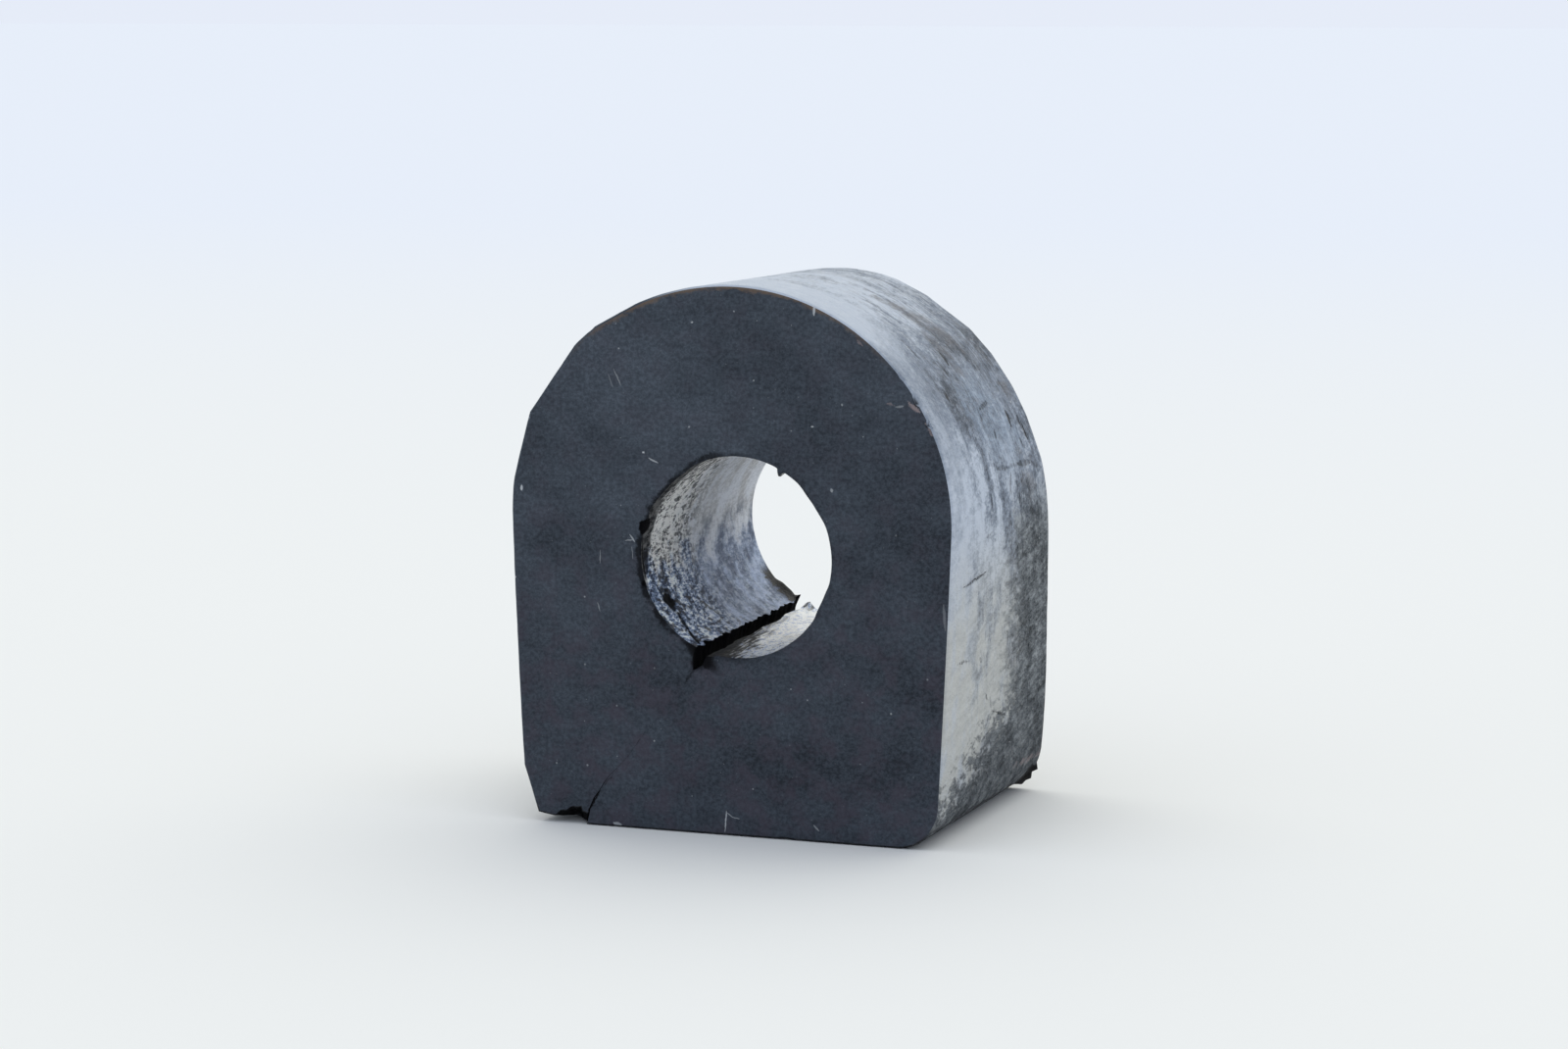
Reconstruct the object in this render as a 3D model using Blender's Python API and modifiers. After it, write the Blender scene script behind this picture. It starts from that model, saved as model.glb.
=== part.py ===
"""Sway bar bushing: one D-shaped block of moulded rubber with a bore for the bar and a slit down to its seat.

Metres, +Z up. The bore runs along Y, the front face looks towards -Y and the block stands on its flat seat.
The origin is on the seat, under the middle of the block. Seen from the front, +X is to the right.
"""

import math
from collections import namedtuple

import bmesh
import bpy
from mathutils import Vector

# The block. Its two ends differ a little, so the sides are a loft from one to the other.
LENGTH = 0.0334             # from end face to end face, along the bore
FRONT_WIDTH = 0.0463        # across the foot of the arch
BACK_WIDTH = 0.0464
FRONT_HEIGHT = 0.05465      # seat to crown
BACK_HEIGHT = 0.0543
FRONT_SPRINGING = 0.0315    # height at which the arch leaves the flanks
BACK_SPRINGING = 0.0280
FRONT_SEAT_WIDTH = 0.0434   # between the flanks, carried down to the seat
BACK_SEAT_WIDTH = 0.0444
FRONT_FLANK_BOW = 1.2       # 1 is a straight flank, more fills it out above the seat
BACK_FLANK_BOW = 4.0
EDGE_BREAK = 0.00025       # worn edge round both end faces and both mouths of the bore

# Flats trimmed on the arch: their corners, in degrees from the crown, and how far those stand off the arch.
FRONT_CORNERS = (-82, -65, -44, -37, -25)
FRONT_CORNER_STAND = 0.00025
BACK_CORNERS = (16, 25, 39, 47, 56, 64, 74)
BACK_CORNER_STAND = -0.0002

# Right lower corner, rounded.
FRONT_CORNER_RADIUS = 0.0043
BACK_CORNER_RADIUS = 0.0050

# Left lower corner, cut off, on the flap that the slit leaves. The flap's sole is lifted off the seat.
CHAMFER_WIDTH = 0.00155
CHAMFER_HEIGHT = 0.0047
FLAP_LIFT = 0.0009          # at the cut corner
FLAP_HEEL_LIFT = 0.00015    # beside the slit

# Bore.
BORE_DIAMETER = 0.0200      # at the front
BORE_BACK_DIAMETER = 0.0208
BORE_HEIGHT = 0.0278        # its axis above the seat
BORE_OFFSET = 0.0007        # its axis to the right of the block's middle

# Slit, from the bore's lower left to the seat. It gapes at the bore and is nearly shut below.
SLIT_FRONT_ANGLE = 19.0     # degrees from straight down, where it leaves the bore
SLIT_BACK_ANGLE = 25.5
SLIT_FOOT = 0.0153          # where it meets the seat, left of the block's middle
SLIT_GAP = 0.0003
SLIT_FRONT_MOUTH = 0.0021
SLIT_BACK_MOUTH = 0.0015
SLIT_THROAT = 0.0019        # how far the gaping part reaches into the rubber

# Bites: torn out under the flap beside the slit, and chipped out of the bore's front edge.
NOTCH_RADIUS = 0.0015
NOTCH_END_RADIUS = 0.0004
NOTCH_DEPTH = 0.0070
NOTCH_RISE = 0.0004         # its middle above the seat, at the front
NOTCH_OFFSET = 0.0011       # its middle to the left of the slit
CHIP_RADIUS = 0.0011
CHIP_ANGLE = -74.0          # degrees from the top of the bore

# Moulding flash: a nib in the bore's front edge, a lip in its back edge, a fringe on the rounded corner.
NIB_ANGLE = 28.0
NIB_RADIUS = 0.0006
NIB_HEIGHT = 0.0008
LIP_ANGLES = (-151.0, -128.0)
LIP_HEIGHT = 0.0006
LIP_BASE = 0.0012
FRINGE_ANGLES = (12.0, 68.0)  # degrees below level
FRINGE_HEIGHT = 0.0007
FRINGE_BASE = 0.0014
FLASH_ROOT = 0.0003         # how deep flash is sunk into the rubber that carries it

# Fineness of the curved faces.
ARCH_STEP = 3               # degrees
FLANK_STEPS = 6
CORNER_STEPS = 8
BORE_STEPS = 96
FLASH_STEPS = 9
CONE_STEPS = 12
OVERRUN = 0.0020            # how far a cutter runs past what it cuts

# Colour and finish.
RUBBER_COLOUR = (0.042, 0.051, 0.070, 1.0)
RUBBER_ROUGHNESS = 0.72

FRONT = -LENGTH / 2
BACK = LENGTH / 2
BORE_AXIS = Vector((BORE_OFFSET, 0.0, BORE_HEIGHT))

End = namedtuple("End", "width height springing seat_width bow corners stand corner_radius")

FRONT_END = End(FRONT_WIDTH, FRONT_HEIGHT, FRONT_SPRINGING, FRONT_SEAT_WIDTH, FRONT_FLANK_BOW,
                FRONT_CORNERS, FRONT_CORNER_STAND, FRONT_CORNER_RADIUS)
BACK_END = End(BACK_WIDTH, BACK_HEIGHT, BACK_SPRINGING, BACK_SEAT_WIDTH, BACK_FLANK_BOW,
               BACK_CORNERS, BACK_CORNER_STAND, BACK_CORNER_RADIUS)


def clear_scene():
    """Start from an empty scene."""
    for item in list(bpy.data.objects):
        bpy.data.objects.remove(item, do_unlink=True)


def new_collection(name):
    """A collection under the scene's own."""
    collection = bpy.data.collections.new(name)
    bpy.context.scene.collection.children.link(collection)
    return collection


def rubber():
    """Old black rubber with a blue-grey bloom."""
    material = bpy.data.materials.new("rubber")
    material.use_nodes = True
    shader = material.node_tree.nodes["Principled BSDF"]
    shader.inputs["Base Color"].default_value = RUBBER_COLOUR
    shader.inputs["Roughness"].default_value = RUBBER_ROUGHNESS
    shader.inputs["Metallic"].default_value = 0.0
    return material


def add_object(name, mesh, collection):
    """An object for a mesh, in a collection."""
    item = bpy.data.objects.new(name, mesh)
    collection.objects.link(item)
    return item


def mesh_from(name, solid):
    """A mesh from a bmesh, its faces turned outwards."""
    bmesh.ops.recalc_face_normals(solid, faces=solid.faces)
    mesh = bpy.data.meshes.new(name)
    solid.to_mesh(mesh)
    solid.free()
    return mesh


def loft(name, sections, collection):
    """A closed solid through sections of as many points each, capped at both ends."""
    solid = bmesh.new()
    rings = [[solid.verts.new(point) for point in section] for section in sections]
    count = len(rings[0])
    for near, far in zip(rings, rings[1:]):
        for index in range(count):
            after = (index + 1) % count
            solid.faces.new((near[index], near[after], far[after], far[index]))
    solid.faces.new(rings[0])
    solid.faces.new(rings[-1])
    return add_object(name, mesh_from(name, solid), collection)


def hide_cutter(cutter):
    """Keep a cutter or a joined form out of the render."""
    cutter.hide_render = True
    cutter.display_type = "WIRE"


def combine(target, other, operation):
    """Cut another solid out of the target, or join it on."""
    modifier = target.modifiers.new(other.name, "BOOLEAN")
    modifier.operation = operation
    modifier.object = other
    modifier.solver = "EXACT"
    hide_cutter(other)


def half_width(end, height, inset):
    """Half the width between an end's flanks at a height."""
    rise = min(height / end.springing, 1.0)
    spread = 1.0 - (1.0 - rise) ** end.bow
    return (end.seat_width + (end.width - end.seat_width) * spread) / 2 - inset


def round_arch_point(end, turn, inset):
    """A point of an end's arch before trimming, turn degrees from the crown towards +X."""
    angle = math.radians(turn)
    across = (end.width / 2 - inset) * math.sin(angle)
    up = end.springing + (end.height - end.springing - inset) * math.cos(angle)
    return Vector((across, 0.0, up))


def flat_corner(end, turn, inset):
    """A corner between two flats. The first and the last of them lie on the arch itself."""
    on_arch = turn in (end.corners[0], end.corners[-1])
    return round_arch_point(end, turn, inset if on_arch else inset - end.stand)


def arch_point(end, turn, inset):
    """A point of an end's arch as trimmed: on a flat between two corners, round elsewhere."""
    for first, last in zip(end.corners, end.corners[1:]):
        if first <= turn <= last:
            share = (turn - first) / (last - first)
            return flat_corner(end, first, inset).lerp(flat_corner(end, last, inset), share)
    return round_arch_point(end, turn, inset)


def arch_turns():
    """The angles at which both ends' arches have a point: even steps and every corner."""
    steps = set(range(-90, 91, ARCH_STEP))
    return sorted(steps | set(FRONT_CORNERS) | set(BACK_CORNERS), reverse=True)


def flank_heights(end, lowest):
    """Heights up a flank, from its lowest point to just under the arch."""
    return [lowest + (end.springing - lowest) * step / FLANK_STEPS for step in range(FLANK_STEPS)]


def corner_centre(end):
    """The middle of an end's rounded lower corner."""
    return Vector((half_width(end, end.corner_radius, 0.0) - end.corner_radius, 0.0, end.corner_radius))


def block_section(end, y, inset):
    """The D outline at one end, from the seat's right end up, over the arch and down to the slit's foot."""
    points = []
    centre = corner_centre(end)
    radius = end.corner_radius - inset
    for step in range(CORNER_STEPS):
        angle = math.radians(90.0 * step / CORNER_STEPS)
        points.append(centre + radius * Vector((math.sin(angle), 0.0, -math.cos(angle))))
    for height in flank_heights(end, end.corner_radius):
        points.append(Vector((half_width(end, height, inset), 0.0, height)))
    for turn in arch_turns():
        points.append(arch_point(end, turn, inset))
    cut_top = FLAP_LIFT + CHAMFER_HEIGHT
    for height in reversed(flank_heights(end, cut_top)):
        points.append(Vector((-half_width(end, height, inset), 0.0, height)))
    cut_foot = half_width(end, cut_top, inset) - CHAMFER_WIDTH
    points.append(Vector((-cut_foot, 0.0, FLAP_LIFT + inset)))
    points.append(Vector((-SLIT_FOOT - SLIT_GAP / 2, 0.0, FLAP_HEEL_LIFT + inset)))
    points.append(Vector((-SLIT_FOOT + SLIT_GAP / 2, 0.0, inset)))
    return [Vector((point.x, y, point.z)) for point in points]


def make_block(collection):
    """The D-shaped block with its worn rims."""
    sections = [
        block_section(FRONT_END, FRONT, EDGE_BREAK),
        block_section(FRONT_END, FRONT + EDGE_BREAK, 0.0),
        block_section(BACK_END, BACK - EDGE_BREAK, 0.0),
        block_section(BACK_END, BACK, EDGE_BREAK),
    ]
    return loft("bushing", sections, collection)


def bore_point(angle, radius, y):
    """A point round the bore's axis, angle degrees from the top towards +X."""
    turn = math.radians(angle)
    return Vector((BORE_AXIS.x + radius * math.sin(turn), y, BORE_AXIS.z + radius * math.cos(turn)))


def make_bore(collection):
    """The cutter for the bore, turned: it widens towards the back, and its mouths are worn."""
    front = BORE_DIAMETER / 2
    back = BORE_BACK_DIAMETER / 2
    profile = [
        (0.0, BACK + OVERRUN),
        (back + EDGE_BREAK + OVERRUN, BACK + OVERRUN),
        (back, BACK - EDGE_BREAK),
        (front, FRONT + EDGE_BREAK),
        (front + EDGE_BREAK + OVERRUN, FRONT - OVERRUN),
        (0.0, FRONT - OVERRUN),
    ]
    mesh = bpy.data.meshes.new("bore")
    vertices = [(radius, 0.0, along) for radius, along in profile]
    edges = [(index, index + 1) for index in range(len(profile) - 1)]
    mesh.from_pydata(vertices, edges, [])
    bore = add_object("bore", mesh, collection)
    bore.location = BORE_AXIS
    bore.rotation_euler.x = -math.pi / 2
    screw = bore.modifiers.new("turn", "SCREW")
    screw.steps = BORE_STEPS
    screw.render_steps = BORE_STEPS
    screw.use_merge_vertices = True
    screw.merge_threshold = 0.00001
    return bore


def slit_section(angle, mouth_width, radius, y):
    """The slit's outline: a gaping mouth inside the bore, then a thin cut down past the seat."""
    mouth = bore_point(180.0 + angle, radius, y)
    foot = Vector((-SLIT_FOOT, y, 0.0))
    down = (foot - mouth).normalized()
    side = Vector((down.z, 0.0, -down.x))
    throat = mouth + down * SLIT_THROAT
    inner = mouth - down * OVERRUN / 2
    gape = SLIT_GAP + (mouth_width - SLIT_GAP) * (1.0 + OVERRUN / 2 / SLIT_THROAT)
    end = foot + down * OVERRUN
    return [
        inner + side * gape / 2,
        throat + side * SLIT_GAP / 2,
        end + side * SLIT_GAP / 2,
        end - side * SLIT_GAP / 2,
        throat - side * SLIT_GAP / 2,
        inner - side * gape / 2,
    ]


def make_slit(collection):
    """The cutter for the slit, turning a little round the bore from front to back."""
    sections = [
        slit_section(SLIT_FRONT_ANGLE, SLIT_FRONT_MOUTH, BORE_DIAMETER / 2, FRONT - OVERRUN),
        slit_section(SLIT_BACK_ANGLE, SLIT_BACK_MOUTH, BORE_BACK_DIAMETER / 2, BACK + OVERRUN),
    ]
    return loft("slit", sections, collection)


def add_cone(name, base_radius, end_radius, height, centre, direction, collection):
    """A cone or a cone's stump whose axis points along a direction, with its base behind its centre."""
    solid = bmesh.new()
    bmesh.ops.create_cone(solid, cap_ends=True, segments=CONE_STEPS, radius1=base_radius, radius2=end_radius,
                          depth=height)
    cone = add_object(name, mesh_from(name, solid), collection)
    cone.location = centre
    cone.rotation_mode = "QUATERNION"
    cone.rotation_quaternion = Vector((0.0, 0.0, 1.0)).rotation_difference(direction)
    return cone


def make_notch(collection):
    """The bite under the flap, open at the front and fading towards the back."""
    middle = Vector((-SLIT_FOOT - NOTCH_OFFSET, FRONT + (NOTCH_DEPTH - OVERRUN) / 2, NOTCH_RISE))
    back = Vector((0.0, 1.0, 0.0))
    return add_cone("notch", NOTCH_RADIUS, NOTCH_END_RADIUS, NOTCH_DEPTH + OVERRUN, middle, back, collection)


def make_chip(collection):
    """The chip out of the bore's front edge, a rough ball."""
    solid = bmesh.new()
    bmesh.ops.create_icosphere(solid, subdivisions=2, radius=CHIP_RADIUS)
    chip = add_object("chip", mesh_from("chip", solid), collection)
    chip.location = bore_point(CHIP_ANGLE, BORE_DIAMETER / 2, FRONT)
    return chip


def make_nib(collection):
    """A pointed nib of flash that hangs into the bore at its front edge."""
    height = FLASH_ROOT + NIB_HEIGHT
    root = bore_point(NIB_ANGLE, BORE_DIAMETER / 2 + FLASH_ROOT - height / 2, FRONT + EDGE_BREAK + NIB_RADIUS)
    inwards = bore_point(NIB_ANGLE, -1.0, 0.0) - bore_point(NIB_ANGLE, 0.0, 0.0)
    return add_cone("nib", NIB_RADIUS, 0.0, height, root, inwards, collection)


def ridge(name, angles, surface, height, base, collection):
    """Flash along a round edge at the back, highest halfway: thin triangles with two points in the rubber.

    surface gives the point at an angle, a distance out of the rubber and a place along the bore.
    """
    back_edge = BACK - EDGE_BREAK
    sections = []
    for step in range(FLASH_STEPS + 1):
        share = step / FLASH_STEPS
        angle = angles[0] + (angles[1] - angles[0]) * share
        rise = height * math.sin(math.pi * share) - FLASH_ROOT / 2 * abs(math.cos(math.pi * share))
        sections.append([
            surface(angle, -FLASH_ROOT, back_edge - base),
            surface(angle, -FLASH_ROOT, back_edge),
            surface(angle, rise, back_edge - base / 4),
        ])
    return loft(name, sections, collection)


def make_lip(collection):
    """The torn lip in the bore's back edge, left of the slit."""

    def surface(angle, distance, y):
        return bore_point(angle, BORE_BACK_DIAMETER / 2 - distance, y)

    return ridge("lip", LIP_ANGLES, surface, LIP_HEIGHT, LIP_BASE, collection)


def make_fringe(collection):
    """The fringe under the block's rounded back corner."""
    centre = corner_centre(BACK_END)

    def surface(angle, distance, y):
        turn = math.radians(angle)
        reach = BACK_CORNER_RADIUS + distance
        return Vector((centre.x + reach * math.cos(turn), y, centre.z - reach * math.sin(turn)))

    return ridge("fringe", FRINGE_ANGLES, surface, FRINGE_HEIGHT, FRINGE_BASE, collection)


def main():
    """Build the bushing."""
    clear_scene()
    parts = new_collection("sway_bar_bushing")
    cutters = new_collection("cutters")
    block = make_block(parts)
    block.data.materials.append(rubber())
    combine(block, make_bore(cutters), "DIFFERENCE")
    combine(block, make_nib(cutters), "UNION")
    combine(block, make_lip(cutters), "UNION")
    combine(block, make_fringe(cutters), "UNION")
    combine(block, make_chip(cutters), "DIFFERENCE")
    combine(block, make_notch(cutters), "DIFFERENCE")
    combine(block, make_slit(cutters), "DIFFERENCE")


main()
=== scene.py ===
import math
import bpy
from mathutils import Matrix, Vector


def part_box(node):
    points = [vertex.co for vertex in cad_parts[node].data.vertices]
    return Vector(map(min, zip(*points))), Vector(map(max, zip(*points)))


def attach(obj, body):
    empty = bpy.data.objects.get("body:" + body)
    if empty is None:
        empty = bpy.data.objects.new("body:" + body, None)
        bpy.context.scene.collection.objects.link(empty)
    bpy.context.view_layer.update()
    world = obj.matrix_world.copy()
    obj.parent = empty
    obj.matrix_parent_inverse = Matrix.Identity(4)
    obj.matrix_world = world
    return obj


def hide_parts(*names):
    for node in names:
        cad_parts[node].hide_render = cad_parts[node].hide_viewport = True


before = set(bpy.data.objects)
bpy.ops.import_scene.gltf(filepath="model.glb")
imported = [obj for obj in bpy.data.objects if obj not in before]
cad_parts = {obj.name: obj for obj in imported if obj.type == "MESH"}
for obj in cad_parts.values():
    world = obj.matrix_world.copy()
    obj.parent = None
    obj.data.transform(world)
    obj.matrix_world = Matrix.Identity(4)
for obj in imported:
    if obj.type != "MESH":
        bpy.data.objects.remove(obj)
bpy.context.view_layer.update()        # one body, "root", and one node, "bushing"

from types import SimpleNamespace

import bpy
import numpy as np
from mathutils import Matrix, Vector, noise

# Everything below is in millimetres until it becomes a mesh.
MM = 0.001
LOWEST, HIGHEST = (np.array(corner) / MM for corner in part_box("bushing"))
FRONT = LOWEST[1]
BACK = HIGHEST[1]
LENGTH = BACK - FRONT
HEIGHT = HIGHEST[2]
HALF_WIDTH = HIGHEST[0]

# The D section at each end, as in the CAD model.
FRONT_END = {"half": HALF_WIDTH - 0.05, "height": HEIGHT, "springing": 31.5, "seat_half": 21.7, "bow": 1.2,
             "corners": (-82, -65, -44, -37, -25), "stand": 0.25, "corner_radius": 4.3}
BACK_END = {"half": HALF_WIDTH, "height": HEIGHT - 0.35, "springing": 28.0, "seat_half": 22.2, "bow": 4.0,
            "corners": (16, 25, 39, 47, 56, 64, 74), "stand": -0.2, "corner_radius": 5.0}
CHAMFER_WIDTH = 1.55
CHAMFER_HEIGHT = 4.7
FLAP_LIFT = 0.9
FLAP_HEEL_LIFT = 0.15
BORE_X = 0.7
BORE_Z = 27.8
BORE_RADIUS = (10.0, 10.4)  # front and back
RIM_ROUND = 0.2

# The slit: bore angles of its two lips, front and back, and its foot on the seat.
RIGHT_LIP = (196.6, 204.2)
LEFT_LIP = (-155.5, -150.0)
SLIT_FOOT = 15.3
SLIT_FOOT_GAP = 0.12

# Down the slit from the bore: how far it strays leftwards, and half its gap.
SLIT_PATH = ((0.0, 0.0), (1.9, -0.5), (3.0, 0.12), (7.5, 0.1), (14.0, 0.2), (17.3, 0.75), (20.4, 0.65),
             (22.4, 0.0))
THROAT_HALF_GAP = ((0.0, 1.0), (1.9, 0.14), (2.6, 0.03), (3.5, 0.01), (17.0, 0.01), (20.0, 0.04),
                   (22.4, 0.10))
RIGHT_LIP_REACH = 22.0      # degrees of the bore that close with each lip
LEFT_LIP_REACH = 20.0
LIP_JAG = 2.6               # degrees that the torn left lip strays
LIP_JAG_SIZE = 1.4          # length of the largest tooth
LIP_ROUND = (0.45, 0.12)    # how far the right lip is worn down, front and back
LIP_ROUND_ANGLE = (8.0, 4.0)

# Bitten out under the flap, open at the front.
NOTCH_X = -16.9
NOTCH_Z = 0.45
NOTCH_RADIUS = 1.6
NOTCH_FLATNESS = 0.6
NOTCH_DEPTH = 1.8

# Uneven places of the bore: degrees from the top, spread, change of radius, y, reach along the bore.
BORE_SWELLS = (
    (-45.0, 16.0, -0.25, FRONT, 8.0),
    (-73.0, 6.0, -0.3, FRONT, 4.0),
    (55.0, 11.0, -0.2, FRONT, 3.0),
    (114.0, 9.0, -0.18, FRONT, 3.0),
    (28.0, 1.8, -0.75, FRONT + 0.7, 0.7),
    (-140.5, 7.0, -0.35, BACK, 0.8),
)

# Moulding flash on the rounded corner at the back: degrees below the corner's level, height, reach forwards,
# depth into the rubber and degrees between its teeth.
FRINGE_ANGLES = (26.0, 72.0)
FRINGE_HEIGHT = 0.7
FRINGE_REACH = 1.6
FRINGE_DEPTH = 1.5
FRINGE_TOOTH = 7.0

# Chips of the bore's wall: degrees from the top, radius, y, size, degrees that it faces, how much it goes
# backwards, and raggedness.
BORE_CHIPS = (
    (-75, 9.7, FRONT + 0.2, 0.9, -74, 1.2, 0.25),
    (-122, 9.9, -12.3, 0.42, -122, 0.0, 0.2),
    (-108, 10.0, FRONT + 0.2, 0.35, -74, 1.0, 0.3),
)

# Small pieces knocked off the front edge: x, z and size.
DENTS = ((8.9, 53.1, 0.4), (19.35, 44.0, 0.45), (20.6, 41.6, 0.3), (17.6, 46.3, 0.28), (-21.3, 40.8, 0.25),
         (-14.6, 49.9, 0.25), (3.4, 54.4, 0.22), (22.9, 26.0, 0.2), (22.4, 12.0, 0.25), (-22.6, 22.0, 0.2),
         (-22.2, 14.0, 0.22), (-7.0, 0.0, 0.3), (6.0, 0.0, 0.25))

# Spurs of torn rubber at the back of the slit: base and tip as degrees from the top, radius and y, then size.
SPURS = (
    ((-150.8, 10.5, BACK - 0.1), (-151.6, 9.5, BACK - 0.2), 0.85),
    ((-158.3, 10.8, BACK - 0.1), (-156.6, 9.8, BACK - 0.3), 0.8),
)

# Gentle unevenness: feature size and height on the skin, and how much of the height the cut faces lose.
RELIEF_BROAD = (9.0, 0.05, 0.03)
RELIEF_FINE = (1.6, 0.022, 0.014)
SHARP_ANGLE = math.radians(50)

# How finely the surface is divided: columns round the outline, rows along the bore, rows across the wall.
SEAT_COLUMNS = 34
CORNER_COLUMNS = 14
FLANK_COLUMNS = 42
ARCH_COLUMNS = 150
CHAMFER_COLUMNS = 10
SOLE_COLUMNS = 18
LENGTH_ROWS = 88
WALL_ROWS = 44
WALL_CROWDING = 1.35
ROUND_STEPS = 3


def smooth(value):
    """0 to 1 with soft ends."""
    value = np.clip(value, 0.0, 1.0)
    return value * value * (3.0 - 2.0 * value)


def blend(ends, share):
    """From the first of two values to the second."""
    return ends[0] + (ends[1] - ends[0]) * share


def fractal(points, size, octaves=3, seed=0.0):
    """Layered noise at each point, about -1 to 1, its largest feature of this size."""
    scaled = points / size + seed
    return np.array([noise.fractal(Vector(point), 1.0, 2.0, octaves) for point in scaled])


def half_width(end, height):
    """Half the width between an end's flanks at a height."""
    rise = np.minimum(height / end["springing"], 1.0)
    spread = 1.0 - (1.0 - rise) ** end["bow"]
    return end["seat_half"] + (end["half"] - end["seat_half"]) * spread


def round_arch_point(end, turn, stand):
    """A point of an end's arch before trimming, turn degrees from the crown towards +X."""
    angle = math.radians(turn)
    across = (end["half"] + stand) * math.sin(angle)
    up = end["springing"] + (end["height"] - end["springing"] + stand) * math.cos(angle)
    return np.array((across, up))


def arch_point(end, turn):
    """A point of an end's arch, on a flat between two corners and round elsewhere."""
    corners = end["corners"]
    for first, last in zip(corners, corners[1:]):
        if first <= turn <= last:
            start = round_arch_point(end, first, 0.0 if first == corners[0] else end["stand"])
            stop = round_arch_point(end, last, 0.0 if last == corners[-1] else end["stand"])
            return start + (stop - start) * (turn - first) / (last - first)
    return round_arch_point(end, turn, 0.0)


def outline(end):
    """An end's outline from the slit's foot along the seat, up, over the arch and down to the slit again."""
    radius = end["corner_radius"]
    centre = np.array((half_width(end, radius) - radius, radius))
    foot = np.array((-SLIT_FOOT + SLIT_FOOT_GAP, 0.0))
    seat_end = np.array((centre[0], 0.0))
    points = [foot + (seat_end - foot) * share for share in np.linspace(0, 1, SEAT_COLUMNS, endpoint=False)]
    for angle in np.linspace(0, math.pi / 2, CORNER_COLUMNS, endpoint=False):
        points.append(centre + radius * np.array((math.sin(angle), -math.cos(angle))))
    for height in np.linspace(radius, end["springing"], FLANK_COLUMNS, endpoint=False):
        points.append(np.array((half_width(end, height), height)))
    for turn in np.linspace(90, -90, ARCH_COLUMNS, endpoint=False):
        points.append(arch_point(end, turn))
    cut_top = FLAP_LIFT + CHAMFER_HEIGHT
    for height in np.linspace(end["springing"], cut_top, FLANK_COLUMNS, endpoint=False):
        points.append(np.array((-half_width(end, height), height)))
    cut_start = np.array((-half_width(end, cut_top), cut_top))
    cut_end = np.array((cut_start[0] + CHAMFER_WIDTH, FLAP_LIFT))
    heel = np.array((-SLIT_FOOT - SLIT_FOOT_GAP, FLAP_HEEL_LIFT))
    for share in np.linspace(0, 1, CHAMFER_COLUMNS, endpoint=False):
        points.append(cut_start + (cut_end - cut_start) * share)
    for share in np.linspace(0, 1, SOLE_COLUMNS):
        points.append(cut_end + (heel - cut_end) * share)
    return np.array(points)


FRONT_OUTLINE = outline(FRONT_END)
BACK_OUTLINE = outline(BACK_END)
COLUMNS = len(FRONT_OUTLINE)
ARC_LENGTH = np.concatenate(([0.0], np.cumsum(np.linalg.norm(np.diff(FRONT_OUTLINE, axis=0), axis=1))))
SOLE_START = float(ARC_LENGTH[COLUMNS - SOLE_COLUMNS])
ACROSS = np.linspace(0, 1, WALL_ROWS + 1) ** WALL_CROWDING
ALONG = np.linspace(FRONT + RIM_ROUND, BACK - RIM_ROUND, LENGTH_ROWS + 1)


def column_share():
    """How far each column is round the bore, 0 at the slit's right lip and 1 at its left lip."""
    turn = np.unwrap(np.arctan2(FRONT_OUTLINE[:, 0] - BORE_X, FRONT_OUTLINE[:, 1] - BORE_Z))
    return (turn[0] - turn) / (turn[0] - turn[-1])


def profile():
    """The closed loop across the wall that each column repeats.

    Each point has its share across the wall (0 in the bore, 1 outside), its step outwards, y and region.
    """
    points = []
    turns = [math.pi / 2 * step / (ROUND_STEPS + 1) for step in range(1, ROUND_STEPS + 1)]
    steps = [(RIM_ROUND * (1 - math.sin(turn)), RIM_ROUND * (1 - math.cos(turn))) for turn in turns]
    for share in ACROSS:
        points.append((share, RIM_ROUND * (1 - 2 * share), FRONT, "front"))
    for small, large in steps:
        points.append((1, -small, FRONT + large, "skin"))
    for y in ALONG:
        points.append((1, 0.0, y, "skin"))
    for small, large in steps:
        points.append((1, -large, BACK - small, "back"))
    for share in ACROSS[::-1]:
        points.append((share, RIM_ROUND * (1 - 2 * share), BACK, "back"))
    for small, large in steps:
        points.append((0, small, BACK - large, "bore"))
    for y in ALONG[::-1]:
        points.append((0, 0.0, y, "bore"))
    for small, large in steps:
        points.append((0, large, FRONT + small, "front"))
    return points


def line_noise(y, size, seed):
    """Noise that changes along the bore only, about -1 to 1."""
    rows, place = np.unique(y, return_inverse=True)
    points = np.stack((np.full(len(rows), seed), rows / size, np.zeros(len(rows))), -1)
    return fractal(points, 1.0, 3)[place].reshape(y.shape)


def bore_radius(turn, y):
    """The bore's radius, widening to the back, with the uneven places of its edges."""
    radius = blend(BORE_RADIUS, (y - FRONT) / LENGTH)
    for middle, spread, swell, row, reach in BORE_SWELLS:
        radius = radius + swell * np.exp(-((turn - middle) / spread) ** 4 - ((y - row) / reach) ** 2)
    return radius


def notch_rise(outer, y):
    """How far the notch under the flap lifts the sole."""
    radius = NOTCH_RADIUS * np.sqrt(np.clip(1 - (y - FRONT) / NOTCH_DEPTH, 0.0, 1.0))
    radius = radius * (1 + 0.25 * line_noise(outer[..., 0], 0.6, 8.0))
    height = NOTCH_FLATNESS * np.sqrt(np.maximum(radius ** 2 - (outer[..., 0] - NOTCH_X) ** 2, 0.0))
    ceiling = np.where(height > 0, NOTCH_Z + height, 0.0)
    return np.maximum(ceiling - outer[..., 1], 0.0)


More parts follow.
